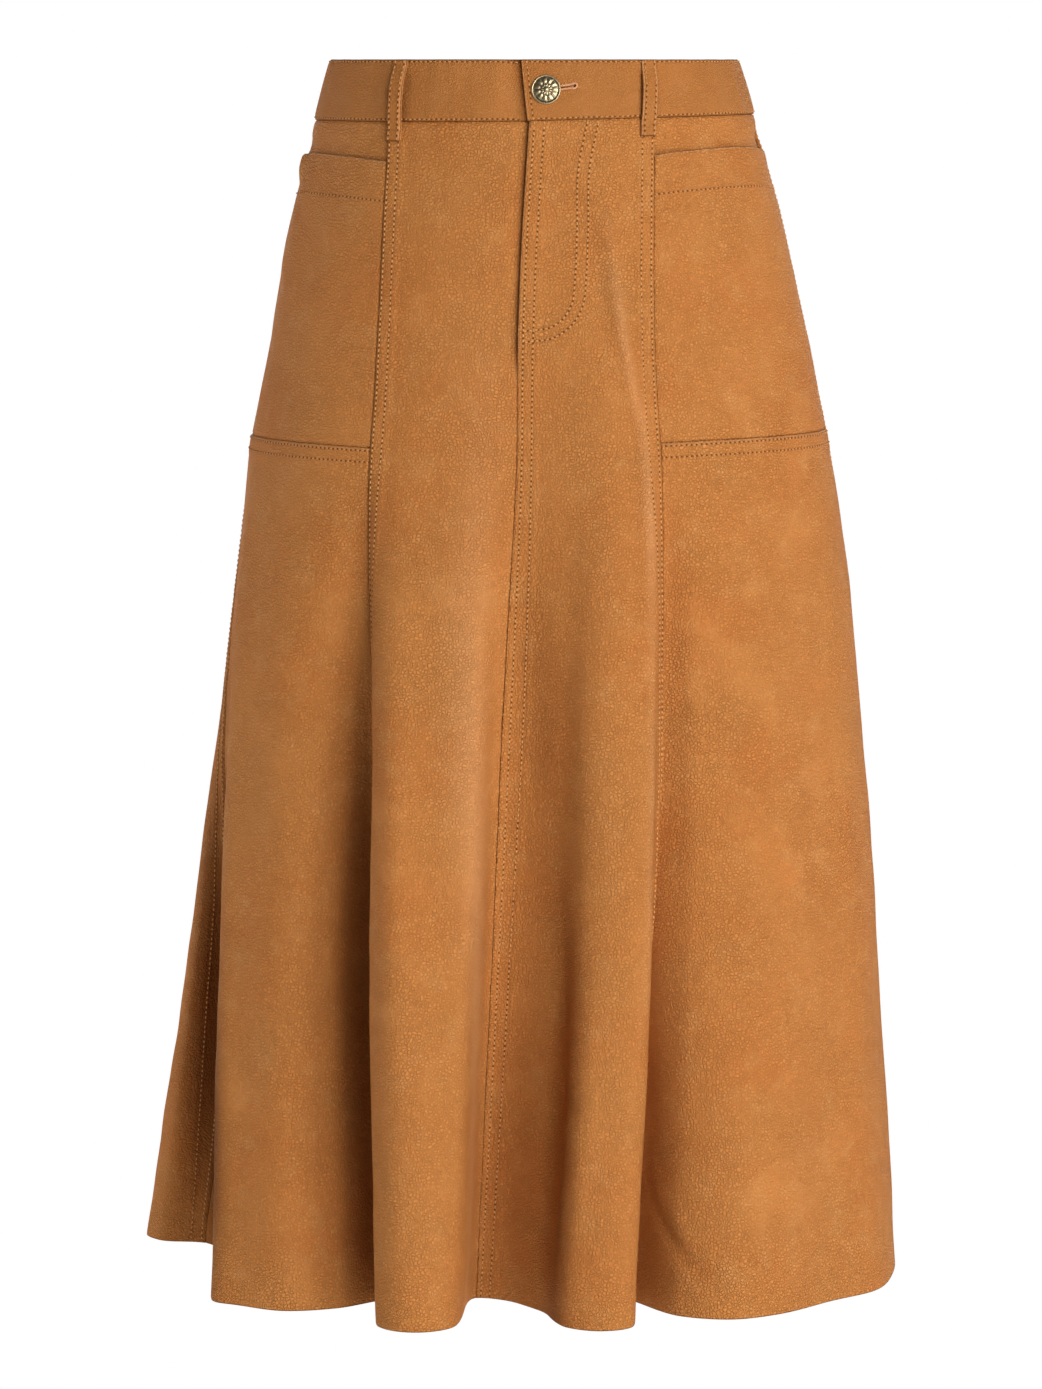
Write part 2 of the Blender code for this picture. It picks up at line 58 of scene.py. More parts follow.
PANEL_THICKNESS = 0.0014
BAND_THICKNESS = 0.0026
BAND_STANDS_PROUD = 0.001
BAND_END_TOP_ANGLE = 0.5
BAND_END_FOOT_ANGLE = 2.1
BAND_UNDERLAP_ANGLE = 14.5
BAND_UNDERLAP_SINK = 0.0032
BAND_DIVE_START = 353.0
BAND_DIVE_SPAN = 6.0

PANEL_TOP = BAND_DEPTH + SEAM_GAP
POCKET_MOUTH = 0.0606
POCKET_MOUTH_ARCH = 0.0032
POCKET_BOTTOM = 0.237
POCKET_LIP = 0.0009
POCKET_LIP_FADE = 0.018
POCKET_BACKING_SINK = 0.00178
BACKING_SINK_START = PANEL_TOP + 0.006
BACKING_SINK_END = POCKET_MOUTH - 0.008

FLY_END = 0.174
FLY_END_FADE = 0.028
FLY_RISE = 0.0012
FLY_RISE_FADE = 0.025
FLY_UNDERLAP = 0.014
FLY_UNDERLAP_TAPER = 0.014
FLY_UNDERLAP_END = FLY_END - 0.002
FLY_UNDERLAP_SINK = 0.0016
FLY_UNDERLAP_FADE = 0.012

LOOP_WIDTH = 0.0094
LOOP_THICKNESS = 0.0018
LOOP_END = 0.0486

BUTTON_RADIUS = 0.0091
BUTTON_SHANK_RADIUS = 0.0015
BUTTON_FROM_FRONT = 0.0142
BUTTON_DROP = 0.0185
SHANK_LENGTH = BAND_UNDERLAP_SINK
BUTTONHOLE_LENGTH = 0.0185

WORN_LEAN = 0.026
LEAN_TURN = -0.09
LEFT_LEAN_START = 0.026

FOLD_START = 0.237
FOLD_GROWTH = 1.2

LINE_STEP = 0.02
ANGLE_STEP = 0.5
DROP_STEP = 0.002

Section = namedtuple("Section", "name drop half_width front_depth back_depth aside")
SECTIONS = (
    Section("top edge", 0.0, 0.1285, 0.097, 0.099, -0.0022),
    Section("waist seam", 0.0375, 0.1388, 0.102, 0.106, -0.0018),
    Section("high hip", 0.12, 0.1606, 0.111, 0.123, -0.0012),
    Section("pocket bottom", 0.237, 0.184, 0.1185, 0.139, 0.0),
    Section("thigh", 0.35, 0.2022, 0.129, 0.148, 0.0004),
    Section("knee", 0.54, 0.2225, 0.147, 0.16, 0.0008),
    Section("hem", 0.7732, 0.242, 0.165, 0.172, 0.001),
)

Seam = namedtuple("Seam", "name waist_angle hip_angle hem_x hem_y")
SEAMS = (
    Seam("centre_front", 2.5, -0.8, -0.0285, -0.114),
    Seam("princess_right", 36.4, 27.8, 0.067, -0.112),
    Seam("side_right", 95.0, 96.0, 0.229, 0.03),
    Seam("centre_back", 180.0, 180.0, 0.004, 0.148),
    Seam("side_left", 265.0, 264.0, -0.225, 0.027),
    Seam("princess_left", 322.9, 328.7, -0.078, -0.122),
)

Fold = namedtuple("Fold", "name hip_angle hip_half hem_x hem_y half_width set_back facing")
FOLDS = {
    "centre_front": (
        Fold("slope foot", 3.2, 0.0, -0.009, -0.1195, 0.0, 0.0, 0.0),
        Fold("slope", 9.0, 0.0, 0.012, -0.146, 0.0, 0.0, 0.0),
        Fold("right tube", 19.5, 5.4, 0.056, -0.1975, 0.02, 0.01, 5.0),
    ),
    "princess_right": (
        Fold("right gore", 44.0, 10.0, 0.135, -0.159, 0.032, 0.0125, 10.0),
        Fold("right hip", 73.0, 9.0, 0.2226, -0.068, 0.043, 0.0105, 65.0),
    ),
    "side_right": (
        Fold("back right valley", 112.0, 0.0, 0.192, 0.098, 0.0, 0.0, 0.0),
        Fold("back right outer", 128.0, 7.0, 0.16, 0.187, 0.024, 0.013, 148.0),
        Fold("back right floor", 146.0, 0.0, 0.103, 0.137, 0.0, 0.0, 0.0),
        Fold("back right inner", 162.0, 6.0, 0.056, 0.21, 0.021, 0.013, 171.0),
    ),
    "centre_back": (
        Fold("back left inner", 195.0, 6.0, -0.043, 0.207, 0.019, 0.012, 189.0),
        Fold("back left floor", 210.0, 0.0, -0.098, 0.138, 0.0, 0.0, 0.0),
        Fold("back left outer", 225.0, 6.5, -0.164, 0.182, 0.022, 0.013, 219.0),
        Fold("back left valley", 240.0, 0.0, -0.197, 0.109, 0.0, 0.0, 0.0),
        Fold("left flare", 253.0, 4.5, -0.264, 0.056, 0.017, 0.014, 262.0),
    ),
    "side_left": (
        Fold("left valley", 277.0, 0.0, -0.161, -0.045, 0.0, 0.0, 0.0),
        Fold("left roll", 291.0, 4.5, -0.1915, -0.138, 0.016, 0.0085, 303.0),
        Fold("left gore", 309.0, 0.0, -0.145, -0.1605, 0.0, 0.0, 0.0),
        Fold("left gore inner", 319.5, 0.0, -0.11, -0.15, 0.0, 0.0, 0.0),
    ),
    "princess_left": (
        Fold("left tube", 342.0, 10.5, -0.058, -0.211, 0.023, 0.014, 359.0),
    ),
}

LoopRow = namedtuple("LoopRow", "drop stands_off")
LOOP_ROWS = (
    LoopRow(0.0006, 0.0014),
    LoopRow(0.0045, 0.0014),
    LoopRow(0.011, 0.0031),
    LoopRow(0.028, 0.0033),
    LoopRow(0.037, 0.0022),
    LoopRow(0.0435, 0.0006),
    LoopRow(LOOP_END, 0.0004),
)
BeltLoop = namedtuple("BeltLoop", "name top_angle bottom_angle")
BELT_LOOPS = (
    BeltLoop("belt_loop_front_left", 324.6, 326.0),
    BeltLoop("belt_loop_front_right", 37.0, 33.2),
    BeltLoop("belt_loop_back_right", 133.0, 133.0),
    BeltLoop("belt_loop_centre_back", 180.0, 180.0),
    BeltLoop("belt_loop_back_left", 227.0, 227.0),
)

# ---------------------------------------------------------------- sewing
STITCH_PITCH = 0.00327
STITCH_LENGTH = 0.0021
THREAD_WIDTH = 0.001
NEEDLE_HOLE = 0.00072
STITCH_SINK = 0.00022
STITCH_SINK_WIDTH = 0.001
ROW_NEAR_SEAM = 0.002
ROW_FAR = 0.0084
FLY_ROW_NEAR = 0.003
FLY_ROW_FAR = 0.0092
POCKET_ROW_FAR = 0.009
FACING_ROW = 0.024

# How an edge of a panel is finished: how far its face sinks into the seam and over what
# distance, how high and how wide its allowance shows, its rows of stitches, and how much
# painted shade darkens the face beside it.
Edge = namedtuple("Edge", "sink roll rise band rows dark")
PLAIN = Edge(0.0006, 0.001, 0.0, 0.0, (), 0.16)
# The right princess seam faces the light, so its faces get little painted shade.
LIT_SIDE_PLAIN = Edge(0.0004, 0.0008, 0.0, 0.0, (), 0.03)
CENTRE_SEAM = Edge(0.00025, 0.0007, 0.0, 0.0, (), 0.0)
TOPSTITCHED = Edge(0.0006, 0.0008, 0.0005, 0.0108, (ROW_NEAR_SEAM, ROW_FAR), 0.16)
LIT_SIDE_TOPSTITCHED = Edge(0.0004, 0.0008, 0.0005, 0.0108, (ROW_NEAR_SEAM, ROW_FAR), 0.03)
FLY_EDGE = Edge(0.00035, 0.0007, 0.00045, 0.0118, (FLY_ROW_NEAR, FLY_ROW_FAR), 0.0)
POCKET_SEAM = Edge(0.0005, 0.0008, 0.00045, 0.0114, (ROW_NEAR_SEAM, POCKET_ROW_FAR), 0.12)
MOUTH = Edge(0.00045, 0.0006, 0.0, 0.0, (FACING_ROW,), 0.0)
RAW = Edge(0.00025, 0.0006, 0.0, 0.0, (), 0.0)
# Painted shade: how far the darkening beside a seam reaches, and the painted shadow beside the
# fly's lapped edge and above the pocket mouth.
SEAM_SHADE_REACH = 0.0008
FLY_SHADE = 0.62
FLY_SHADE_REACH = 0.0036
MOUTH_SHADE = 0.46
MOUTH_SHADE_REACH = 0.0014
# Painted highlight: paler lines along the pocket mouth, the fly edge, the band's edges, the belt
# loops' edges and below the pocket seam, where light catches them.
MOUTH_HIGHLIGHT = 0.75
FLY_HIGHLIGHT = 0.45
BAND_HIGHLIGHT = 0.35
LOOP_HIGHLIGHT = 0.55
HIGHLIGHT_REACH = 0.0006
SEAM_HIGHLIGHT = 0.4
SEAM_HIGHLIGHT_ASIDE = 0.001
BAND_STEP = 0.0022
PUCKER = 0.00007
PUCKER_REACH = 0.013
PUCKER_RATES = (610.0, 170.0, 283.0)

# The two curved rows that hold the fly facing, from the waist seam round to the fly edge.
CurvePoint = namedtuple("CurvePoint", "across drop")
FLY_CURVE_OUTER = (
    CurvePoint(0.0424, 0.0405),
    CurvePoint(0.0392, 0.063),
    CurvePoint(0.0406, 0.108),
    CurvePoint(0.0408, 0.135),
    CurvePoint(0.0393, 0.1515),
    CurvePoint(0.0335, 0.1625),
    CurvePoint(0.0245, 0.1695),
    CurvePoint(0.0052, 0.1728),
)
FLY_CURVE_GAUGE = 0.0068

# ---------------------------------------------------------------- creases
# Soft troughs (negative height) and ridges of the worn leather, each from one point to
# another, bowed sideways at its middle.
Crease = namedtuple("Crease", "name across drop to_across to_drop bow width height")
CREASES = (
    Crease("front hollow", 0.007, 0.12, 0.012, 0.56, 0.002, 0.021, -0.0074),
    Crease("right front roll", 0.0525, 0.12, 0.076, 0.56, 0.0015, 0.02, 0.0066),
    Crease("fly stitching trough", 0.0395, 0.09, 0.052, 0.168, -0.001, 0.0085, -0.0018),
    Crease("hip to tube fold", 0.054, 0.112, 0.078, 0.235, 0.001, 0.0054, 0.0034),
    Crease("tube fold top", 0.0772, 0.226, 0.0872, 0.34, 0.0, 0.005, 0.0024),
    Crease("right tube crest", 0.08, 0.38, 0.1341, 0.73, 0.0035, 0.017, 0.0045),
    Crease("right tube hollow", 0.051, 0.38, 0.086, 0.62, 0.002, 0.017, -0.003),
    Crease("left tube crest", -0.056, 0.33, -0.098, 0.69, 0.0, 0.019, 0.005),
    Crease("left tube foot", -0.11, 0.36, -0.22, 0.69, -0.0155, 0.028, -0.01),
    Crease("left tube edge", -0.0745, 0.29, -0.1156, 0.74, -0.0107, 0.016, 0.01),
    Crease("right tube foot", 0.105, 0.36, 0.2163, 0.6735, 0.01, 0.016, 0.005),
    Crease("left valley floor", -0.3637, 0.504, -0.54, 0.76, -0.01, 0.011, -0.018),
    Crease("slope hollow", 0.0415, 0.51, 0.0605, 0.762, -0.002, 0.018, -0.0082),
    Crease("right tube fold", 0.082, 0.57, 0.103, 0.762, -0.002, 0.0085, 0.003),
    Crease("slope pinch high", 0.0578, 0.625, 0.0961, 0.648, 0.001, 0.005, -0.001),
    Crease("slope pinch low", 0.06, 0.648, 0.093, 0.664, -0.001, 0.0045, 0.0008),
    Crease("right hem drag", 0.2229, 0.7065, 0.2918, 0.753, 0.002, 0.0036, -0.0014),
    Crease("right hem drag side", 0.231, 0.7, 0.3, 0.746, 0.002, 0.0055, 0.001),
    Crease("left hip ease", -0.205, 0.115, -0.226, 0.255, 0.0, 0.03, -0.0024),
    Crease("left flare ease", -0.38, 0.52, -0.5117, 0.681, 0.0, 0.02, -0.0022),
    Crease("right side ease", 0.33, 0.5, 0.4329, 0.72, 0.0, 0.04, -0.0018),
    Crease("right waist ease", 0.19, 0.042, 0.196, 0.062, 0.0, 0.018, -0.002),
    Crease("left pocket corner", -0.19, 0.056, -0.184, 0.076, 0.0, 0.01, 0.0026),
    Crease("left hip drag high", -0.198, 0.07, -0.15, 0.112, 0.002, 0.005, -0.0008),
    Crease("left hip drag", -0.205, 0.125, -0.156, 0.16, -0.002, 0.006, 0.0009),
    Crease("left hip drag low", -0.212, 0.175, -0.17, 0.198, 0.002, 0.006, -0.0008),
    Crease("left gore swell", -0.23, 0.33, -0.19, 0.47, 0.004, 0.02, 0.001),
    Crease("left gore dip", -0.196, 0.43, -0.225, 0.56, -0.005, 0.016, -0.001),
    Crease("right gore swell", 0.15, 0.3, 0.215, 0.47, 0.006, 0.024, 0.0012),
    Crease("right hip dip", 0.202, 0.27, 0.24, 0.37, 0.005, 0.016, -0.001),
    Crease("right side drag", 0.315, 0.52, 0.345, 0.66, 0.006, 0.014, -0.0014),
    Crease("back right drag", 0.305, 0.16, 0.35, 0.27, 0.006, 0.011, -0.0018),
    Crease("back right roll", 0.33, 0.15, 0.37, 0.24, 0.004, 0.012, 0.0014),
    Crease("seat hollow right", 0.385, 0.13, 0.41, 0.3, 0.005, 0.018, -0.0026),
    Crease("seat hollow left", -0.39, 0.135, -0.415, 0.31, -0.004, 0.017, -0.0024),
    Crease("back left drag", -0.3, 0.175, -0.34, 0.27, -0.005, 0.011, -0.0016),
    Crease("back right floor", 0.46, 0.38, 0.795, 0.765, 0.01, 0.022, -0.008),
    Crease("back right inner crest", 0.525, 0.38, 0.885, 0.765, 0.014, 0.018, 0.006),
    Crease("back right outer crest", 0.418, 0.38, 0.708, 0.765, 0.01, 0.018, 0.005),
    Crease("back left floor", -0.47, 0.38, -0.847, 0.765, -0.017, 0.02, -0.007),
    Crease("back left inner crest", -0.535, 0.38, -0.936, 0.765, -0.02, 0.017, 0.005),
    Crease("back left outer crest", -0.422, 0.38, -0.758, 0.765, -0.014, 0.017, 0.005),
    Crease("back left hem drag", -0.7, 0.67, -0.64, 0.75, 0.004, 0.006, -0.0026),
    Crease("back right hem drag", 0.66, 0.66, 0.71, 0.74, 0.004, 0.007, 0.0022),
)

# Painted shade in the deep folds, where shadow falls. Height is how much darker.
FOLD_SHADES = (
    Crease("left valley", -0.346, 0.46, -0.58, 0.84, -0.008, 0.0165, 1.0),
    Crease("left roll flank", -0.2832, 0.59, -0.3396, 0.745, 0.0, 0.012, 0.95),
    Crease("left tube valley", -0.11, 0.4, -0.225, 0.76, 0.0, 0.016, 0.4),
    Crease("slope valley", 0.0735, 0.59, 0.0815, 0.775, 0.0, 0.0085, 0.26),
)
# Paler lines painted along the folds: down the right tube's fold they are painted highlight where
# light catches it, and along the front tube's crest partly rubbed paler leather and partly painted
# highlight. Height is how much.
FOLD_WEAR_AND_HIGHLIGHTS = (
    Crease("hip to tube fold", 0.0548, 0.115, 0.0788, 0.235, 0.001, 0.0036, 0.34),
    Crease("tube fold top", 0.0782, 0.226, 0.0882, 0.34, 0.0, 0.0036, 0.4),
    Crease("tube fold", 0.0882, 0.34, 0.1165, 0.59, 0.0, 0.0036, 0.26),
    Crease("front tube crest", -0.021, 0.24, -0.021, 0.79, 0.008, 0.015, 0.4),
)
END_SOFTNESS = 0.22
END_SHARE = 0.3

# ---------------------------------------------------------------- small helpers
def mix(a, b, share):
    return a + (b - a) * share


def ease(share):
    """0 below 0, 1 above 1, and a smooth step between."""
    share = np.clip(share, 0.0, 1.0)
    return share * share * (3.0 - 2.0 * share)


def bump(distance, width):
    """1 on a line, and a soft fall to 0 on both sides of it."""
    return np.exp(-(distance / width) ** 2)


def unit(vectors):
    return vectors / np.linalg.norm(vectors, axis=-1, keepdims=True)


def cubic(at, knots, values, slopes, k):
    """The curve between knot k and the next one, with these values and slopes there."""
    span = knots[k + 1] - knots[k]
    t = (at - knots[k]) / span
    return (
        (2 * t**3 - 3 * t**2 + 1) * values[k]
        + (t**3 - 2 * t**2 + t) * span * slopes[k]
        + (3 * t**2 - 2 * t**3) * values[k + 1]
        + (t**3 - t**2) * span * slopes[k + 1]
    )


def catmull(at, knots, values):
    """A smooth curve through values at knots."""
    k = np.clip(np.searchsorted(knots, at) - 1, 0, len(knots) - 2)
    return cubic(at, knots, values, np.gradient(values, knots), k)


# ---------------------------------------------------------------- form of the skirt
def section_value(drop, field):
    """A column of SECTIONS at any drops, on a smooth curve through its rows."""
    drops = np.array([row.drop for row in SECTIONS])
    values = np.array([getattr(row, field) for row in SECTIONS])
    slopes = np.diff(values) / np.diff(drops)
    inner = (values[2:] - values[:-2]) / (drops[2:] - drops[:-2])
    slopes = np.concatenate((slopes[:1], inner, slopes[-1:]))
    return cubic(drop, drops, values, slopes, np.searchsorted(drops[1:-1], drop))


def smooth_outline(angle, drop):
    """Points of the unfolded skirt at these angles (degrees), seen from above."""
    a = np.radians(angle)
    front = section_value(drop, "front_depth")
    back = section_value(drop, "back_depth")
    depth = np.where(np.cos(a) >= 0.0, front, back)
    x = section_value(drop, "aside") + section_value(drop, "half_width") * np.sin(a)
    return np.stack((x, -depth * np.cos(a)), -1)


def height_at(x, drop):
    """Height of points at this drop, with the lean of the worn skirt."""
    starts = np.where(x > 0.0, 0.0, LEFT_LEAN_START)
    lean = np.clip((drop - starts) / BAND_DEPTH, 0.0, 1.0)
    lean = lean * (1.0 - ease((drop - POCKET_BOTTOM) / (SKIRT_LENGTH - POCKET_BOTTOM)))
    return TOP_HEIGHT - drop + WORN_LEAN * lean * np.maximum(x, 2.0 * LEAN_TURN - x)


def fold_lines():
    """Waist angle, hip angle and hem point of every line, and the place of each seam."""
    lines = []
    seam_place = {}
    for k, seam in enumerate(SEAMS):
        following = SEAMS[(k + 1) % len(SEAMS)]
        turn = 360.0 if k == len(SEAMS) - 1 else 0.0
        next_waist = following.waist_angle + turn
        next_hip = following.hip_angle + turn
        seam_place[seam.name] = len(lines)
        lines.append((seam.waist_angle, seam.hip_angle, seam.hem_x, seam.hem_y))
        for fold in FOLDS[seam.name]:
            facing = math.radians(fold.facing)
            side = Vector((math.cos(facing), math.sin(facing))) * fold.half_width
            back = Vector((-math.sin(facing), math.cos(facing))) * fold.set_back
            crest = Vector((fold.hem_x, fold.hem_y))
            places = (-1, 0, 1) if fold.half_width > 0.0 else (0,)
            for place in places:
                hip = fold.hip_angle + place * fold.hip_half
                share = (hip - seam.hip_angle) / (next_hip - seam.hip_angle)
                waist = mix(seam.waist_angle, next_waist, share)
                lines.append((waist, hip, *(crest + side * place + back * abs(place))))
    seam_place["end"] = len(lines)
    return np.array(lines), seam_place


LINES, SEAM_PLACE = fold_lines()
END_PLACE = float(len(LINES))
LINE_OFFSETS = LINES[:, 2:] - smooth_outline(LINES[:, 1], np.full(len(LINES), SKIRT_LENGTH))


def line_point(index, drop):
    """Where fold lines are at these drops, seen from above."""
    share = (drop - PANEL_TOP) / (POCKET_BOTTOM - PANEL_TOP)
    share = 1.0 - (1.0 - np.clip(share, 0.0, 1.0)) ** 2
    angle = mix(LINES[index, 0], LINES[index, 1], share)
    grown = np.maximum(drop - FOLD_START, 0.0) / (SKIRT_LENGTH - FOLD_START)
    return smooth_outline(angle, drop) + LINE_OFFSETS[index] * grown[..., None] ** FOLD_GROWTH


def loop_point(place, drop):
    """Points of the closed centripetal curve through the fold lines at these drops."""
    place, drop = np.broadcast_arrays(np.asarray(place, float), np.asarray(drop, float))
    first = np.floor(place).astype(int)
    share = (place - first)[..., None]
    points = [line_point((first + k) % len(LINES), drop) for k in (-1, 0, 1, 2)]
    knots = [0.0]
    for before, after in zip(points, points[1:]):
        chord = np.linalg.norm(after - before, axis=-1, keepdims=True)
        knots.append(knots[-1] + np.sqrt(chord))
    t = mix(knots[1], knots[2], share)
    near = [
        mix(points[k], points[k + 1], (t - knots[k]) / (knots[k + 1] - knots[k]))
        for k in (0, 1, 2)
    ]
    wide = [mix(near[k], near[k + 1], (t - knots[k]) / (knots[k + 2] - knots[k])) for k in (0, 1)]
    return mix(wide[0], wide[1], (t - knots[1]) / (knots[2] - knots[1]))


def raised(flat, drop):
    return np.concatenate((flat, height_at(flat[..., 0], drop)[..., None]), -1)


def skirt_point(place, drop):
    return raised(loop_point(place, drop), drop)


def waist_point(angle, drop):
    return raised(smooth_outline(angle, drop), drop)


def surface(point_at, place, drop, place_step):
    """Points, directions along the row and outward normals of a surface."""
    along = point_at(place + place_step, drop) - point_at(place - place_step, drop)
    up = point_at(place, drop - DROP_STEP) - point_at(place, drop + DROP_STEP)
    return point_at(place, drop), along / (2.0 * place_step), unit(np.cross(along, up))


# ---------------------------------------------------------------- ways round the skirt
TABLE_ROWS = 200
TABLE_STEPS = 20
TABLE_DROPS = np.linspace(0.0, SKIRT_LENGTH, TABLE_ROWS)
TABLE_PLACES = np.arange(-TABLE_STEPS, (len(LINES) + 2) * TABLE_STEPS + 1) / TABLE_STEPS


def measured_rows():
    """Way round from the centre front seam to every place of the table, at every drop."""
    points = skirt_point(TABLE_PLACES[None, :], TABLE_DROPS[:, None])
    steps = np.linalg.norm(np.diff(points, axis=1), axis=-1)
    ways = np.concatenate((np.zeros((TABLE_ROWS, 1)), np.cumsum(steps, axis=1)), axis=1)
    return ways - ways[:, TABLE_STEPS:TABLE_STEPS + 1]


WAYS = measured_rows()


def ways_at(drop):
    """The table's row at one drop."""
    row = np.clip(drop / SKIRT_LENGTH, 0.0, 1.0) * (TABLE_ROWS - 1)
    above = min(int(row), TABLE_ROWS - 2)
    return mix(WAYS[above], WAYS[above + 1], row - above)


def way_to(place, drop):
    """Way round from the centre front seam to places, each at its own drop."""
    place, drop = np.broadcast_arrays(np.asarray(place, float), np.asarray(drop, float))
    row = np.clip(drop / SKIRT_LENGTH, 0.0, 1.0) * (TABLE_ROWS - 1)
    above = np.minimum(row.astype(int), TABLE_ROWS - 2)
    column = (place - TABLE_PLACES[0]) * TABLE_STEPS
    left = np.clip(column.astype(int), 0, len(TABLE_PLACES) - 2)
    upper = mix(WAYS[above, left], WAYS[above, left + 1], column - left)
    lower = mix(WAYS[above + 1, left], WAYS[above + 1, left + 1], column - left)
    return mix(upper, lower, row - above)


def place_for(way, drop):
    """The places that lie this way round at each drop."""
    way, drop = np.broadcast_arrays(np.asarray(way, float), np.asarray(drop, float))
    places = np.empty(way.shape)
    for value in np.unique(drop):
        here = drop == value
        places[here] = np.interp(way[here], ways_at(value), TABLE_PLACES)
    return places


def signed_across(place, drop):
    """Way round from centre front, negative on the left half."""
    way = way_to(place, drop)
    whole = way_to(END_PLACE, drop)
    return np.where(way > whole / 2.0, way - whole, way)


# ---------------------------------------------------------------- relief of the leather
def edge_relief(edge, distance):
    """Height of a panel's face beside one edge, with its allowance and stitch rows."""
    height = -edge.sink * bump(distance, edge.roll)
    if edge.band:
        height += edge.rise * ease(distance / edge.roll) * (
            1.0 - ease((distance - edge.band) / BAND_STEP)
        )
        for row in edge.rows:
            height -= STITCH_SINK * bump(distance - row, STITCH_SINK_WIDTH)
    return height


def puckers(distance, along):
    """Small ripples across a sewn edge that die away into the panel."""
    quick, drift, slow = PUCKER_RATES
    ripple = np.sin(along * quick + 1.3 * np.sin(along * drift)) + 0.7 * np.sin(along * slow)
    return PUCKER * ripple * bump(distance, PUCKER_REACH)


def crease_height(across, drop, creases=CREASES):
    """Sum of all the creases at points of the skirt."""
    height = np.zeros(across.shape)
    for crease in creases:
        start = np.array((crease.across, crease.drop))
        way = np.array((crease.to_across, crease.to_drop)) - start
        length = float(np.hypot(*way))
        way /= length
        along = ((across - start[0]) * way[0] + (drop - start[1]) * way[1]) / length
        t = np.clip(along, 0.0, 1.0)
        bow = crease.bow * 4.0 * t * (1.0 - t)
        aside = (across - start[0]) * -way[1] + (drop - start[1]) * way[0] - bow
        beyond = (along - t) * length * END_SOFTNESS
        swell = mix(END_SHARE, 1.0, np.sin(np.pi * t))
        height += crease.height * swell * bump(np.hypot(aside, beyond), crease.width)
    return height


# Long soft waves of the hanging leather: their number of radians per metre across and
# down, their shift and their height.
Wave = namedtuple("Wave", "across down shift height")
WAVES = (
    Wave(31.0, 17.0, 0.4, 0.00034),
    Wave(-52.0, 23.0, 2.1, 0.00022),
    Wave(74.0, 61.0, 4.0, 0.00013),
    Wave(-118.0, 83.0, 1.2, 0.00007),
    Wave(23.0, -139.0, 3.3, 0.00008),
)


def unevenness(across, drop):
    return sum(
        wave.height * np.sin(wave.across * across + wave.down * drop + wave.shift)
        for wave in WAVES
    )


# ---------------------------------------------------------------- lifts of the panels
def no_lift(place, drop):
    return np.zeros(np.broadcast(place, drop).shape)


def fly_held(drop):
    """1 along the fly, and 0 below it where the centre front is a plain seam."""
    return 1.0 - ease((drop - FLY_END) / FLY_END_FADE)


def fly_front_lift(place, drop):
    """The lapped edge of the fly stands up a little over the underlap."""
    past = signed_across(place, drop)
    return FLY_RISE * fly_held(drop) * (1.0 - ease(past / FLY_RISE_FADE))


def under_fly_lift(place, drop):
    past = way_to(place, drop) - way_to(END_PLACE, drop)
    return -FLY_UNDERLAP_SINK * ease(1.0 + past / FLY_UNDERLAP_FADE) * fly_held(drop)


def fly_underlap(drop):
    """How far the under side reaches past the fly edge. Below the fly it stops at the seam."""
    reach = ease((FLY_UNDERLAP_END - drop) / FLY_UNDERLAP_TAPER)
    return mix(-SEAM_GAP / 2.0, FLY_UNDERLAP, reach)


def backing_lift(place, drop):
    share = (drop - BACKING_SINK_START) / (BACKING_SINK_END - BACKING_SINK_START)
    return -POCKET_BACKING_SINK * ease(share)


def mouth_lift(place, drop):
    return POCKET_LIP * (1.0 - ease((drop - POCKET_MOUTH) / POCKET_LIP_FADE))


def pocket_mouth(share):
    return POCKET_MOUTH - POCKET_MOUTH_ARCH * np.sin(np.pi * np.clip(share, 0.0, 1.0))


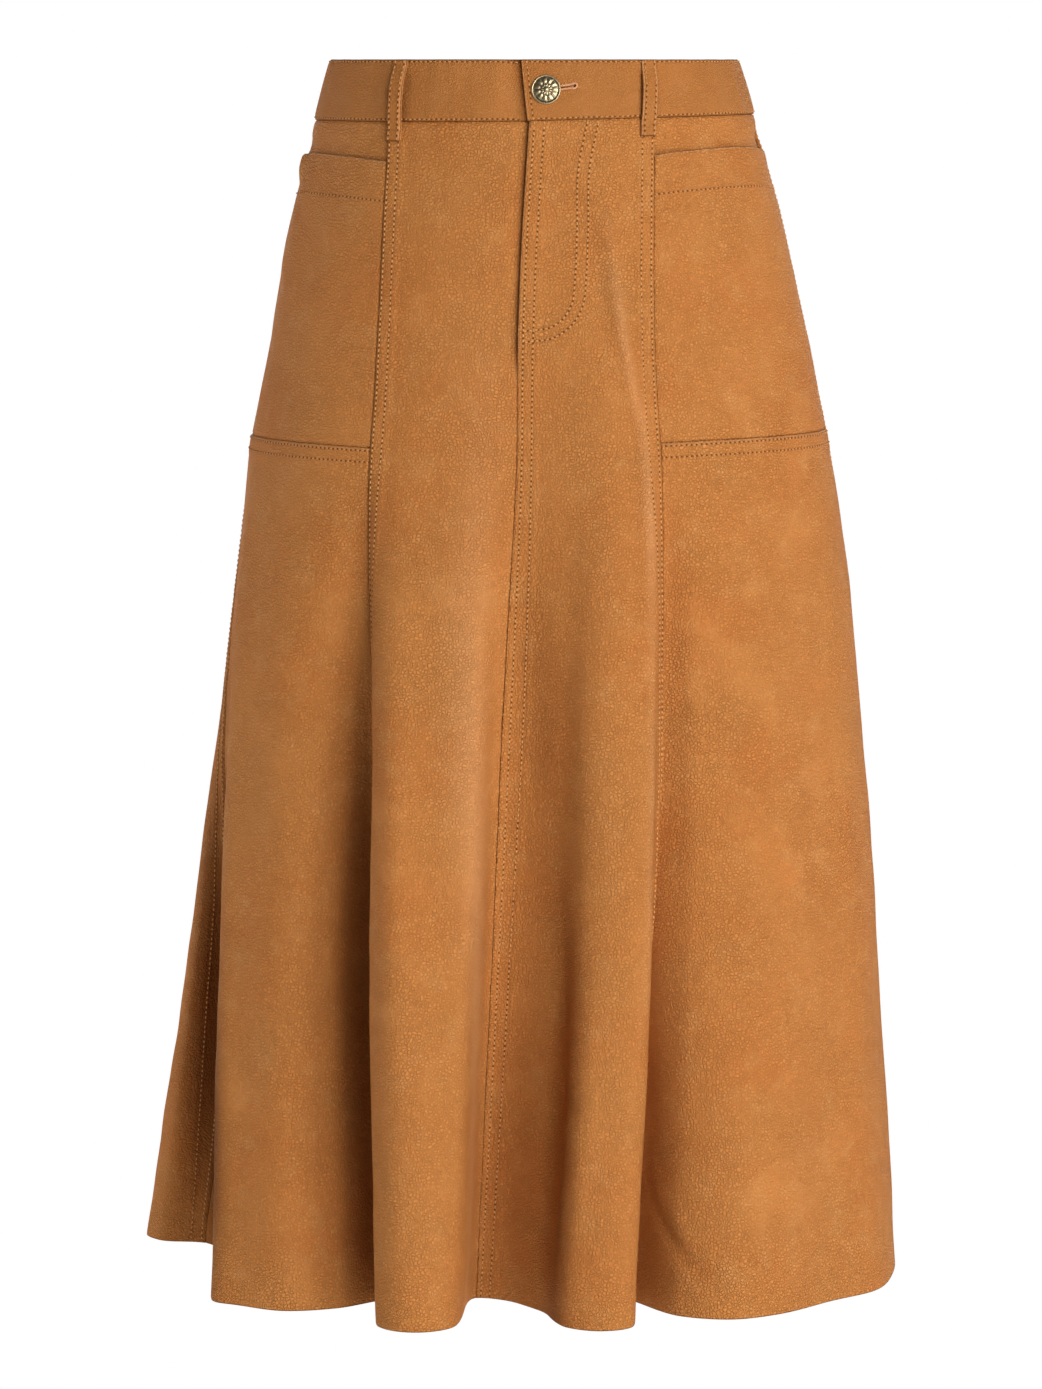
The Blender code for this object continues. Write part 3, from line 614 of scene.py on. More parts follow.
# ---------------------------------------------------------------- panels
# Cut width, length and area are the flat piece that one panel is sewn from.
Panel = namedtuple(
    "Panel", "name first last top bottom lift first_edge last_edge top_edge bottom_edge cut"
)
Cut = namedtuple("Cut", "width length area")
ABOVE_POCKET_SEAM = POCKET_BOTTOM - SEAM_GAP / 2.0
BELOW_POCKET_SEAM = POCKET_BOTTOM + SEAM_GAP / 2.0
PANELS = (
    Panel("front_centre_right", "centre_front", "princess_right", PANEL_TOP, SKIRT_LENGTH,
          fly_front_lift, FLY_EDGE, LIT_SIDE_TOPSTITCHED, PLAIN, RAW,
          Cut(0.215, 0.745, 0.0954)),
    Panel("front_centre_left", "princess_left", "end", PANEL_TOP, SKIRT_LENGTH,
          under_fly_lift, TOPSTITCHED, CENTRE_SEAM, PLAIN, RAW, Cut(0.22, 0.745, 0.0975)),
    Panel("pocket_backing_right", "princess_right", "side_right", PANEL_TOP,
          ABOVE_POCKET_SEAM, backing_lift, PLAIN, PLAIN, PLAIN, PLAIN,
          Cut(0.18, 0.2, 0.0283)),
    Panel("pocket_backing_left", "side_left", "princess_left", PANEL_TOP,
          ABOVE_POCKET_SEAM, backing_lift, PLAIN, PLAIN, PLAIN, PLAIN,
          Cut(0.175, 0.2, 0.0271)),
    Panel("pocket_front_right", "princess_right", "side_right", pocket_mouth,
          ABOVE_POCKET_SEAM, mouth_lift, LIT_SIDE_PLAIN, PLAIN, MOUTH, PLAIN,
          Cut(0.18, 0.18, 0.0262)),
    Panel("pocket_front_left", "side_left", "princess_left", pocket_mouth,
          ABOVE_POCKET_SEAM, mouth_lift, PLAIN, PLAIN, MOUTH, PLAIN,
          Cut(0.175, 0.18, 0.025)),
    Panel("side_gore_right", "princess_right", "side_right", BELOW_POCKET_SEAM,
          SKIRT_LENGTH, no_lift, LIT_SIDE_PLAIN, PLAIN, POCKET_SEAM, RAW,
          Cut(0.3, 0.545, 0.1271)),
    Panel("side_gore_left", "side_left", "princess_left", BELOW_POCKET_SEAM,
          SKIRT_LENGTH, no_lift, PLAIN, PLAIN, POCKET_SEAM, RAW, Cut(0.3, 0.545, 0.1235)),
    Panel("back_right", "side_right", "centre_back", PANEL_TOP, SKIRT_LENGTH,
          no_lift, TOPSTITCHED, TOPSTITCHED, PLAIN, RAW, Cut(0.42, 0.75, 0.2158)),
    Panel("back_left", "centre_back", "side_left", PANEL_TOP, SKIRT_LENGTH,
          no_lift, PLAIN, TOPSTITCHED, PLAIN, RAW, Cut(0.435, 0.75, 0.2241)),
)

# Distances from an edge at which a face has its own rows and columns of points.
FINE_STEPS = (0.0, 0.0004, 0.0009, 0.0014, 0.0022, 0.0034, 0.005)
STITCHED_STEPS = (
    0.0, 0.0004, 0.0009, 0.0014, 0.0021, 0.003, 0.0042, 0.0058, 0.0069, 0.0078, 0.0089,
    0.0101, 0.0112, 0.0124, 0.014,
)
EDGE_RIM = 3
FREE_EDGES = (FLY_EDGE, MOUTH, RAW)
FREE_EDGE_BULGE = 0.00045
SEAM_EDGE_BULGE = 0.00018
COLUMN_PITCH = 0.0036
ROW_PITCH = 0.0036
FACING_HEIGHT = 0.0003
FACING_REACH = 0.0022
FACING_STEP = 0.003
FACING_END = 0.004
FLY_CURVE_POINTS = 60
DARKEST_SHADE = 0.85


def steps_beside(edge):
    return STITCHED_STEPS if edge.band else FINE_STEPS


def spread(length, start, end, count):
    """Distances from 0 to length, fine at both ends and even between."""
    first = np.array(start)
    last = length - np.array(end)[::-1]
    return np.concatenate((first, np.linspace(first[-1], last[0], count + 2)[1:-1], last))


def panel_ends(panel, drop):
    """Ways round from centre front to a panel's two edges at each drop."""
    half_gap = SEAM_GAP / 2.0
    first = way_to(float(SEAM_PLACE[panel.first]), drop) + half_gap
    last = way_to(float(SEAM_PLACE[panel.last]), drop)
    if panel.name == "front_centre_left":
        return first, last + fly_underlap(drop)
    return first, last - half_gap


def panel_share(panel, place):
    """How far places lie on the way from a panel's first seam to its last."""
    first = SEAM_PLACE[panel.first]
    return (place - first) / (SEAM_PLACE[panel.last] - first)


def panel_top(panel, place):
    if callable(panel.top):
        return panel.top(panel_share(panel, place))
    return np.full(place.shape, panel.top)


def highest(panel):
    return POCKET_MOUTH if callable(panel.top) else panel.top


def panel_edges(panel, place, drop):
    """A panel's edges, how far points are from each and where they are along it."""
    way = way_to(place, drop)
    first, last = panel_ends(panel, drop)
    return (
        (panel.first_edge, way - first, drop),
        (panel.last_edge, last - way, drop),
        (panel.top_edge, drop - panel_top(panel, place), way),
        (panel.bottom_edge, panel.bottom - drop, way),
    )


def fly_facing_height(across, drop):
    """The fly facing under the right front lifts it a little, out to its curved rows."""
    rows = fly_curve(0.0)
    edge = np.interp(drop, rows[:, 1], rows[:, 0])
    inside = ease((edge + FACING_REACH - across) / FACING_STEP)
    return FACING_HEIGHT * (inside * (1.0 - ease((drop - FLY_END) / FACING_END)))


def fly_curve(inwards):
    """Points of a curved fly row, set in from the outer one."""
    rough = np.array(FLY_CURVE_OUTER)
    way = np.concatenate(((0.0,), np.cumsum(np.linalg.norm(np.diff(rough, axis=0), axis=1))))
    fine = np.linspace(0.0, way[-1], FLY_CURVE_POINTS)
    line = np.stack([catmull(fine, way, rough[:, k]) for k in (0, 1)], -1)
    side = unit(np.gradient(line, axis=0))
    return line + inwards * np.stack((-side[:, 1], side[:, 0]), -1)


def smooth_height(panel, place, drop):
    """Height of a panel over the smooth skirt, without its sewing."""
    across = signed_across(place, drop)
    return panel.lift(place, drop) + unevenness(across, drop) + crease_height(across, drop)


def panel_height(panel, place, drop):
    """Height of a panel's outer face over the smooth skirt."""
    height = smooth_height(panel, place, drop)
    for edge, distance, along in panel_edges(panel, place, drop):
        height = height + edge_relief(edge, distance)
        if edge is not RAW:
            height = height + puckers(distance, along)
    if panel.name == "front_centre_right":
        height = height + fly_facing_height(signed_across(place, drop), drop)
    return height


def panel_grid(panel):
    """Places and drops of a panel's points, rows from the top."""
    top = highest(panel)
    rows = round((panel.bottom - top) / ROW_PITCH)
    downs = spread(panel.bottom - top, steps_beside(panel.top_edge),
                   steps_beside(panel.bottom_edge), rows)
    first, last = panel_ends(panel, np.array(panel.bottom))
    columns = round(float(last - first) / COLUMN_PITCH)
    places = []
    for down in downs:
        drop = top + down
        first, last = panel_ends(panel, np.array(drop))
        ways = first + spread(float(last - first), steps_beside(panel.first_edge),
                              steps_beside(panel.last_edge), columns)
        places.append(np.interp(ways, ways_at(drop), TABLE_PLACES))
    places = np.array(places)
    tops = panel_top(panel, places)
    share = (downs / downs[-1])[:, None]
    return places, mix(tops, panel.bottom, share)


def panel_face(panel, place, drop, lift=0.0):
    """Points on a panel, this far over its outer face, and their normals."""
    point, _, normal = surface(skirt_point, place, drop, LINE_STEP)
    height = panel_height(panel, place, drop) + lift
    return point + normal * height[..., None], normal


# ---------------------------------------------------------------- making meshes
def new_object(name, data):
    made = bpy.data.objects.new(name, data)
    bpy.context.scene.collection.objects.link(made)
    return made


def new_piece(name, points, faces, materials, face_materials=None):
    mesh = bpy.data.meshes.new(name)
    mesh.from_pydata(np.asarray(points).tolist(), [], faces)
    for material in materials:
        mesh.materials.append(material)
    if face_materials is not None:
        mesh.polygons.foreach_set("material_index", np.asarray(face_materials, np.int32))
    mesh.shade_smooth()
    mesh.update()
    return new_object(name, mesh)


def border(rows, columns):
    """Indices of the border of a grid, anticlockwise seen from outside."""
    grid = np.arange(rows * columns).reshape(rows, columns)
    return np.concatenate((grid[:, 0], grid[-1, 1:], grid[-2::-1, -1], grid[0, -2:0:-1]))


def shell(name, outer, inner, bulges, shade, wear_and_highlight, materials):
    """A closed sheet between two grids of points, with rounded edges.

    bulges are how far the first, bottom, last and top edges swell outwards. The next two
    give at every point of the outer grid how much painted shade darkens the leather, and how
    much paler it is painted, partly rubbed leather and partly painted highlight.
    """
    rows, columns = outer.shape[:2]
    count = rows * columns
    quads = np.array([
        (k * columns + m, (k + 1) * columns + m, (k + 1) * columns + m + 1, k * columns + m + 1)
        for k in range(rows - 1) for m in range(columns - 1)
    ])
    around = border(rows, columns)
    sides = np.concatenate((
        np.full(rows, 0), np.full(columns - 1, 1), np.full(rows - 1, 2), np.full(columns - 2, 3)
    ))
    k, m = np.divmod(around, columns)
    inside = np.clip(k, 1, rows - 2) * columns + np.clip(m, 1, columns - 2)
    flat_outer = outer.reshape(-1, 3)
    flat_inner = inner.reshape(-1, 3)
    middle = (flat_outer[around] + flat_inner[around]) / 2.0
    outwards = unit(middle - (flat_outer[inside] + flat_inner[inside]) / 2.0)
    swell = np.array(bulges)[sides][:, None]
    points = [flat_outer, flat_inner]
    loops = [around]
    for step in range(1, EDGE_RIM + 1):
        turn = math.pi * step / (EDGE_RIM + 1)
        ring = middle + (flat_outer[around] - middle) * math.cos(turn)
        points.append(ring + outwards * swell * math.sin(turn))
        loops.append(2 * count + (step - 1) * len(around) + np.arange(len(around)))
    loops.append(around + count)
    faces = [quads, quads[:, ::-1] + count]
    for upper, lower in zip(loops, loops[1:]):
        faces.append(np.stack(
            (upper, lower, np.roll(lower, -1), np.roll(upper, -1)), -1)[:, ::-1])
    inner_faces = np.zeros(sum(len(part) for part in faces), np.int32)
    inner_faces[len(quads):2 * len(quads)] = 1
    faces = np.concatenate(faces).tolist()
    piece = new_piece(name, np.concatenate(points), faces, materials, inner_faces)
    for kind, values in (("painted_shade", shade), ("edge_wear_and_highlight", wear_and_highlight)):
        values = values.ravel()
        add_values(piece, kind, np.concatenate(
            (values, np.zeros(count), np.tile(values[around], EDGE_RIM))))
    return piece


def add_values(piece, name, values):
    """Stores a number for every point of a piece, which its material reads."""
    attribute = piece.data.attributes.new(name, "FLOAT", "POINT")
    attribute.data.foreach_set("value", np.asarray(values, np.float32))


def painted_shade(panel, place, drop):
    """How much painted shade darkens a panel: down in its seams, in the shadow of what laps it,
    and in its deep folds.
    """
    shade = crease_height(signed_across(place, drop), drop, FOLD_SHADES)
    for edge, distance, _ in panel_edges(panel, place, drop):
        shade = shade + edge.dark * bump(distance, SEAM_SHADE_REACH)
    if panel.name == "front_centre_left":
        past = way_to(END_PLACE, drop) - way_to(place, drop)
        shade = shade + FLY_SHADE * fly_held(drop) * bump(
            np.maximum(past, 0.0), FLY_SHADE_REACH)
    if panel.lift is backing_lift:
        mouth = pocket_mouth(panel_share(panel, place))
        shade = shade + MOUTH_SHADE * bump(np.maximum(mouth - drop, 0.0), MOUTH_SHADE_REACH)
    return np.clip(shade, 0.0, DARKEST_SHADE)


def edge_wear_and_highlight(panel, place, drop):
    """How much paler a panel is painted: painted highlight along its free edges and below the
    pocket seam, and the paler fold lines.
    """
    first, _ = panel_ends(panel, drop)
    wear_and_highlight = crease_height(signed_across(place, drop), drop, FOLD_WEAR_AND_HIGHLIGHTS)
    if panel.top_edge is MOUTH:
        wear_and_highlight = wear_and_highlight + MOUTH_HIGHLIGHT * bump(drop - panel_top(panel, place), HIGHLIGHT_REACH)
    if panel.top_edge is POCKET_SEAM:
        wear_and_highlight = wear_and_highlight + SEAM_HIGHLIGHT * bump(drop - panel.top - SEAM_HIGHLIGHT_ASIDE, HIGHLIGHT_REACH)
    if panel.first_edge is FLY_EDGE:
        wear_and_highlight = wear_and_highlight + FLY_HIGHLIGHT * fly_held(drop) * bump(way_to(place, drop) - first, HIGHLIGHT_REACH)
    return np.clip(wear_and_highlight, 0.0, 1.0)


def make_panel(panel, materials):
    place, drop = panel_grid(panel)
    outer, normal = panel_face(panel, place, drop)
    base, _, _ = surface(skirt_point, place, drop, LINE_STEP)
    smooth = smooth_height(panel, place, drop)
    inner = base + normal * (smooth - PANEL_THICKNESS)[..., None]
    edges = (panel.first_edge, panel.bottom_edge, panel.last_edge, panel.top_edge)
    bulges = [FREE_EDGE_BULGE if edge in FREE_EDGES else SEAM_EDGE_BULGE for edge in edges]
    return shell(f"{panel.name}_leather", outer, inner, bulges,
                 painted_shade(panel, place, drop), edge_wear_and_highlight(panel, place, drop), materials)


# ---------------------------------------------------------------- waistband
BAND_COLUMN_PITCH = 0.003
BAND_EDGE_ROW = 0.0012
BAND_END_ROW = 0.0024
BAND_SWELL = 0.00035
BAND_ROUND = 0.0009
BAND_TOP_ROLL = 0.0007
BAND_FOOT_ROLL = 0.0006
BAND_END_ROLL = 0.0004
BAND_LONG_WAVE = 0.00022
BAND_SHORT_WAVE = 0.00014
BAND_PUCKER_REACH = 0.006
BAND_END_BULGE = 0.0004
BAND_TOP_BULGE = 0.0005
BAND_FOOT_SHADE_REACH = 0.0007
BAND_TOP_SHADE_REACH = 0.0006
BAND_FRONT_RADIUS = 0.13
BAND_END_RADIUS = 0.1
BAND_LENGTH = 0.8
BAND_ROWS = 8
# Painted shade along the band's foot and top edge and beside the belt loops.
BAND_FOOT_SHADE = 0.36
BAND_TOP_SHADE = 0.2
LOOP_RADIUS = 0.115
LOOP_SHADE = 0.28
LOOP_SHADE_REACH = 0.001


def band_lift(angle):
    """The underlap end of the band dives behind the lapped end."""
    dive = ease((angle - BAND_DIVE_START) / BAND_DIVE_SPAN)
    return BAND_STANDS_PROUD - BAND_UNDERLAP_SINK * dive


def band_start(drop):
    return mix(BAND_END_TOP_ANGLE, BAND_END_FOOT_ANGLE, drop / BAND_DEPTH)


def band_height(angle, drop):
    """Height of the band's outer face over the smooth waist."""
    top = bump(drop, BAND_ROUND)
    foot = bump(BAND_DEPTH - drop, BAND_ROUND)
    swell = BAND_SWELL * np.sin(np.pi * np.clip(drop / BAND_DEPTH, 0.0, 1.0)) ** 0.6
    wave = BAND_LONG_WAVE * np.sin(angle * 0.43 + drop * 60.0)
    wave = wave + BAND_SHORT_WAVE * np.sin(angle * 1.1 + 2.0)
    ripple = PUCKER * np.sin(angle * 1.37 + 0.8 * np.sin(angle * 0.31)) * (
        bump(drop, BAND_PUCKER_REACH) + bump(BAND_DEPTH - drop, BAND_PUCKER_REACH)
    )
    height = band_lift(angle) + swell + wave + ripple
    height = height - BAND_TOP_ROLL * top - BAND_FOOT_ROLL * foot
    for row in (BAND_EDGE_ROW, BAND_DEPTH - BAND_EDGE_ROW):
        height = height - STITCH_SINK * bump(drop - row, STITCH_SINK_WIDTH)
    end = np.radians(angle - band_start(drop)) * BAND_END_RADIUS
    height = height - BAND_END_ROLL * bump(end, BAND_ROUND)
    return height - STITCH_SINK * bump(end - BAND_END_ROW, STITCH_SINK_WIDTH)


def band_shade(angle, drop):
    """Painted shade: darker along the waist seam and the top edge, beside the belt loops and in
    the shadow of the lapped end.
    """
    shade = BAND_FOOT_SHADE * bump(BAND_DEPTH - drop, BAND_FOOT_SHADE_REACH)
    shade = shade + BAND_TOP_SHADE * bump(drop, BAND_TOP_SHADE_REACH)
    for loop in BELT_LOOPS:
        middle = mix(loop.top_angle, loop.bottom_angle, drop / LOOP_END)
        aside = np.abs(np.radians(angle - middle)) * LOOP_RADIUS - LOOP_WIDTH / 2.0
        shade = shade + LOOP_SHADE * bump(np.maximum(aside, 0.0), LOOP_SHADE_REACH)
    past = np.radians(360.0 + band_start(drop) - angle) * BAND_FRONT_RADIUS
    shade = shade + FLY_SHADE * bump(np.maximum(past, 0.0), FLY_SHADE_REACH)
    return np.clip(shade, 0.0, DARKEST_SHADE)


def band_face(angle, drop):
    point, _, normal = surface(waist_point, angle, drop, ANGLE_STEP)
    return point + normal * band_height(angle, drop)[..., None], normal


def button_angle():
    """Angle round the waist at which the button sits."""
    across = BUTTON_FROM_FRONT - section_value(BUTTON_DROP, "aside")
    return math.degrees(math.asin(across / section_value(BUTTON_DROP, "half_width")))


def button_frame(lift):
    """Where the button sits: local Z looks out of the band, X along it towards the right."""
    angle, drop = np.array(button_angle()), np.array(BUTTON_DROP)
    point, along, normal = surface(waist_point, angle, drop, ANGLE_STEP)
    along = unit(along)
    turn = Matrix((along, np.cross(normal, along), normal)).transposed().to_4x4()
    return Matrix.Translation(Vector(point + normal * lift)) @ turn


def make_waistband(materials):
    """One strip round the waist, from its lapped end at centre front to its underlap."""
    drops = spread(BAND_DEPTH, FINE_STEPS, FINE_STEPS, BAND_ROWS)
    whole = 360.0 + BAND_UNDERLAP_ANGLE
    fine = np.degrees(np.array(FINE_STEPS) / BAND_END_RADIUS)
    count = round(BAND_LENGTH / BAND_COLUMN_PITCH)
    angles = []
    for drop in drops:
        start = float(band_start(drop))
        angles.append(start + spread(whole - start, fine, fine, count))
    angles = np.array(angles)
    drops = np.broadcast_to(drops[:, None], angles.shape)
    outer, normal = band_face(angles, drops)
    base, _, _ = surface(waist_point, angles, drops, ANGLE_STEP)
    inner = base + normal * (band_lift(angles) - BAND_THICKNESS)[..., None]
    bulges = (BAND_END_BULGE, SEAM_EDGE_BULGE, BAND_END_BULGE, BAND_TOP_BULGE)
    # Painted highlight along the lapped end and the top edge, where light catches them.
    lapped_end = np.radians(angles - band_start(drops)) * BAND_FRONT_RADIUS
    wear_and_highlight = BAND_HIGHLIGHT * np.maximum(bump(lapped_end, HIGHLIGHT_REACH), bump(drops, HIGHLIGHT_REACH))
    band = shell("waistband_leather", outer, inner, bulges, band_shade(angles, drops), wear_and_highlight,
                 materials)
    return cut_buttonhole(band)


SLOT_WIDTH = 0.0004
SLOT_RISE = 0.13
EYELET_RADIUS = 0.0008


def cut_buttonhole(band):
    """Cuts the keyhole slot through the band's lapped end and returns the finished band."""
    radius = SLOT_WIDTH / 2.0
    reach = BUTTONHOLE_LENGTH - EYELET_RADIUS
    above = BAND_THICKNESS * 1.5
    below = BAND_THICKNESS + SEAM_GAP
    neck = math.pi - math.asin(radius / EYELET_RADIUS)
    ring = [(radius * math.cos(turn), radius * math.sin(turn))
            for turn in np.linspace(0.5 * math.pi, 1.5 * math.pi, 7)]
    ring += [(reach + EYELET_RADIUS * math.cos(turn), EYELET_RADIUS * math.sin(turn))
             for turn in np.linspace(-neck, neck, 17)]
    sides = len(ring)
    place = button_frame(BAND_STANDS_PROUD)
    points = [place @ Vector((x, y + SLOT_RISE * x, z)) for z in (-below, above)
              for x, y in ring]
    faces = [list(range(sides))[::-1], list(range(sides, 2 * sides))]
    faces += [(k, (k + 1) % sides, sides + (k + 1) % sides, sides + k) for k in range(sides)]
    cutter = new_piece("buttonhole_cutter", [tuple(p) for p in points], faces, ())
    slot = band.modifiers.new("buttonhole", "BOOLEAN")
    slot.object = cutter
    slot.operation = "DIFFERENCE"
    slot.solver = "EXACT"
    finished = as_plain_mesh(band)
    bpy.data.objects.remove(cutter, do_unlink=True)
    return finished


def as_plain_mesh(piece):
    """Keeps what a piece's modifiers make as its own mesh."""
    graph = bpy.context.evaluated_depsgraph_get()
    mesh = bpy.data.meshes.new_from_object(piece.evaluated_get(graph))
    piece.modifiers.clear()
    piece.data = mesh
    return piece


# ---------------------------------------------------------------- belt loops
LOOP_ROW_ASIDE = 0.0031
LOOP_COLUMNS = 17
LOOP_LENGTH_ROWS = 44
LOOP_TURN_UP = 0.001
LOOP_TURNED = 0.0062
LOOP_TURN_STEP = 0.0012
LOOP_FOOT_SHADE = 0.35
LOOP_FOOT_SHADE_REACH = 0.0006
LOOP_ROUND = 0.0008
LOOP_END_DIP = 0.0005
LOOP_EDGE_BULGE = 0.0003


def loop_surface(loop, aside, drop):
    """The waist under a belt loop, its normals and how far the loop stands off it."""
    angle = mix(loop.top_angle, loop.bottom_angle, drop / LOOP_END)
    _, along, _ = surface(waist_point, angle, drop, ANGLE_STEP)
    angle = angle + aside / np.linalg.norm(along, axis=-1)
    point, _, normal = surface(waist_point, angle, drop, ANGLE_STEP)
    knots, offs = np.array(LOOP_ROWS).T
    return point, normal, catmull(drop, knots, offs)


def loop_face(loop, aside, drop):
    """Points on a belt loop's outer face, aside from its middle line, and normals."""
    point, normal, height = loop_surface(loop, aside, drop)
    height = height + LOOP_THICKNESS
    height = height + LOOP_TURN_UP * ease((drop - LOOP_END + LOOP_TURNED) / LOOP_TURN_STEP)
    edge = LOOP_WIDTH / 2.0 - np.abs(aside)
    height = height - LOOP_ROUND * bump(edge, LOOP_ROUND)
    height = height - LOOP_END_DIP * bump(drop - LOOP_ROWS[0].drop, LOOP_ROUND)
    height = height - LOOP_END_DIP * bump(LOOP_END - drop, LOOP_ROUND)
    return point + normal * height[..., None], normal


def make_belt_loop(loop, materials):
    drops = spread(LOOP_END - LOOP_ROWS[0].drop, FINE_STEPS[:4], FINE_STEPS[:4],
                   LOOP_LENGTH_ROWS) + LOOP_ROWS[0].drop
    asides = np.linspace(-1.0, 1.0, LOOP_COLUMNS)
    asides = np.sign(asides) * np.abs(asides) ** 0.7 * LOOP_WIDTH / 2.0
    aside, drop = np.meshgrid(asides, drops)
    outer, normal = loop_face(loop, aside, drop)
    base, _, offs = loop_surface(loop, aside, drop)
    inner = base + normal * offs[..., None]
    # Painted highlight along the loop's edges, and painted shade at its foot.
    wear_and_highlight = LOOP_HIGHLIGHT * bump(LOOP_WIDTH / 2.0 - np.abs(aside) - HIGHLIGHT_REACH, HIGHLIGHT_REACH)
    shade = LOOP_FOOT_SHADE * bump(LOOP_END - drop, LOOP_FOOT_SHADE_REACH)
    return shell(f"{loop.name}_leather", outer, inner, (LOOP_EDGE_BULGE,) * 4, shade, wear_and_highlight,
                 materials)


# ---------------------------------------------------------------- button
BUTTON_TURNS = 120
PETALS = 11
# Rings of the button's face from its underside to its tip: radius as a share of the button's,
# rise over the shank, and how much of the petals shows there.
BUTTON_RINGS = (
    (0.93, 0.0, 0.0), (0.985, 0.0003, 0.0), (1.0, 0.0008, 0.0), (0.985, 0.00135, 0.0),
    (0.95, 0.0016, 0.0), (0.91, 0.00155, 0.0), (0.88, 0.00125, 0.0), (0.85, 0.00115, 0.0),
    (0.81, 0.00125, 0.25), (0.76, 0.0015, 0.7), (0.7, 0.0017, 1.0), (0.63, 0.00184, 1.0),
    (0.56, 0.00196, 0.9), (0.48, 0.002, 0.7), (0.42, 0.00188, 0.5), (0.36, 0.00205, 0.8),
    (0.3, 0.0023, 0.9), (0.22, 0.00222, 0.4), (0.16, 0.00215, 0.0), (0.11, 0.00245, 0.0),
    (0.05, 0.0026, 0.0),
)
BUTTON_TIP_RISE = 0.00003
PETAL_DEPTH = 0.00045
PETAL_RIB = 0.25
PETAL_RIB_WIDTH = 0.02
INNER_PETALS = 0.4


def petal_height(radius, turn):
    """Outer petals point between the inner ones, each with a soft rib along its middle."""
    share = radius / BUTTON_RADIUS
    twist = math.pi / PETALS if share < INNER_PETALS else 0.0
    wave = abs(math.cos(PETALS * (turn + twist) / 2.0))
    rib = PETAL_RIB * math.exp(-((1.0 - wave) / PETAL_RIB_WIDTH) ** 2)
    return PETAL_DEPTH * (wave ** 0.6 - 1.0 + rib)


def make_button(material):
    """A domed shank button with a raised rim and a plain rosette."""
    place = button_frame(BAND_STANDS_PROUD + SEAM_GAP - SHANK_LENGTH)
    rings = [(BUTTON_SHANK_RADIUS, 0.0, 0.0), (BUTTON_SHANK_RADIUS, SHANK_LENGTH, 0.0)]
    rings += [(BUTTON_RADIUS * share, SHANK_LENGTH + rise, petals)
              for share, rise, petals in BUTTON_RINGS]
    points = []
    for radius, height, petals in rings:
        for k in range(BUTTON_TURNS):
            turn = 2.0 * math.pi * k / BUTTON_TURNS
            points.append((radius * math.cos(turn), radius * math.sin(turn),
                           height + petals * petal_height(radius, turn)))
    last = len(points) - BUTTON_TURNS
    foot, tip = len(points), len(points) + 1
    points += [(0.0, 0.0, 0.0), (0.0, 0.0, rings[-1][1] + BUTTON_TIP_RISE)]
    turns = [(k, (k + 1) % BUTTON_TURNS) for k in range(BUTTON_TURNS)]
    faces = []
    for start in range(0, last, BUTTON_TURNS):
        over = start + BUTTON_TURNS
        faces += [(start + k, start + after, over + after, over + k) for k, after in turns]
    for k, after in turns:
        faces += [(foot, after, k), (tip, last + k, last + after)]
    points = [tuple(place @ Vector(point)) for point in points]
    return new_piece("button_brass", points, faces, (material,))


# ---------------------------------------------------------------- nodes
class Nodes:
    """Adds nodes to one tree. Inputs are numbers, colours or the sockets they come from."""

    def __init__(self, tree):
        self.tree = tree

    def add(self, kind, inputs=None, **settings):
        made = self.tree.nodes.new(kind)
        for key, value in settings.items():
            setattr(made, key, value)
        self.feed(made, inputs or {})
        return made

    def feed(self, node, inputs):
        for key, value in inputs.items():
            socket = node.inputs[key]
            if isinstance(value, bpy.types.NodeSocket):
                self.tree.links.new(value, socket)
            elif socket.type == "RGBA":
                socket.default_value = (*value[:3], 1.0)
            else:
                socket.default_value = value

    def where(self):
        return self.add("ShaderNodeTexCoord").outputs["Object"]

    def attribute(self, name):
        return self.add("ShaderNodeAttribute", attribute_name=name).outputs["Fac"]

    def noise(self, vector, scale, detail=2.0, roughness=0.5, output="Fac"):
        return self.add("ShaderNodeTexNoise", {
            "Vector": vector, "Scale": scale, "Detail": detail, "Roughness": roughness,
        }).outputs[output]

    def ranged(self, value, low=0.0, high=1.0, to_low=0.0, to_high=1.0, **settings):
        return self.add("ShaderNodeMapRange", {
            "Value": value, "From Min": low, "From Max": high, "To Min": to_low, "To Max": to_high,
        }, **settings).outputs["Result"]

    def maths(self, operation, *values):
        made = self.add("ShaderNodeMath", dict(enumerate(values)), operation=operation)
        return made.outputs[0]

    def mixed(self, share, a, b, kind="RGBA"):
        made = self.add("ShaderNodeMix", {"Factor": share, "A": a, "B": b}, data_type=kind)
        return made.outputs["Result"]

    def relief(self, height, distance):
        made = self.add("ShaderNodeBump", {"Height": height, "Distance": distance})
        return made.outputs["Normal"]


# ---------------------------------------------------------------- stitches
STITCH_SEED = 7
STITCH_WOBBLE = 0.07
HOLE_LIFT = 0.0001


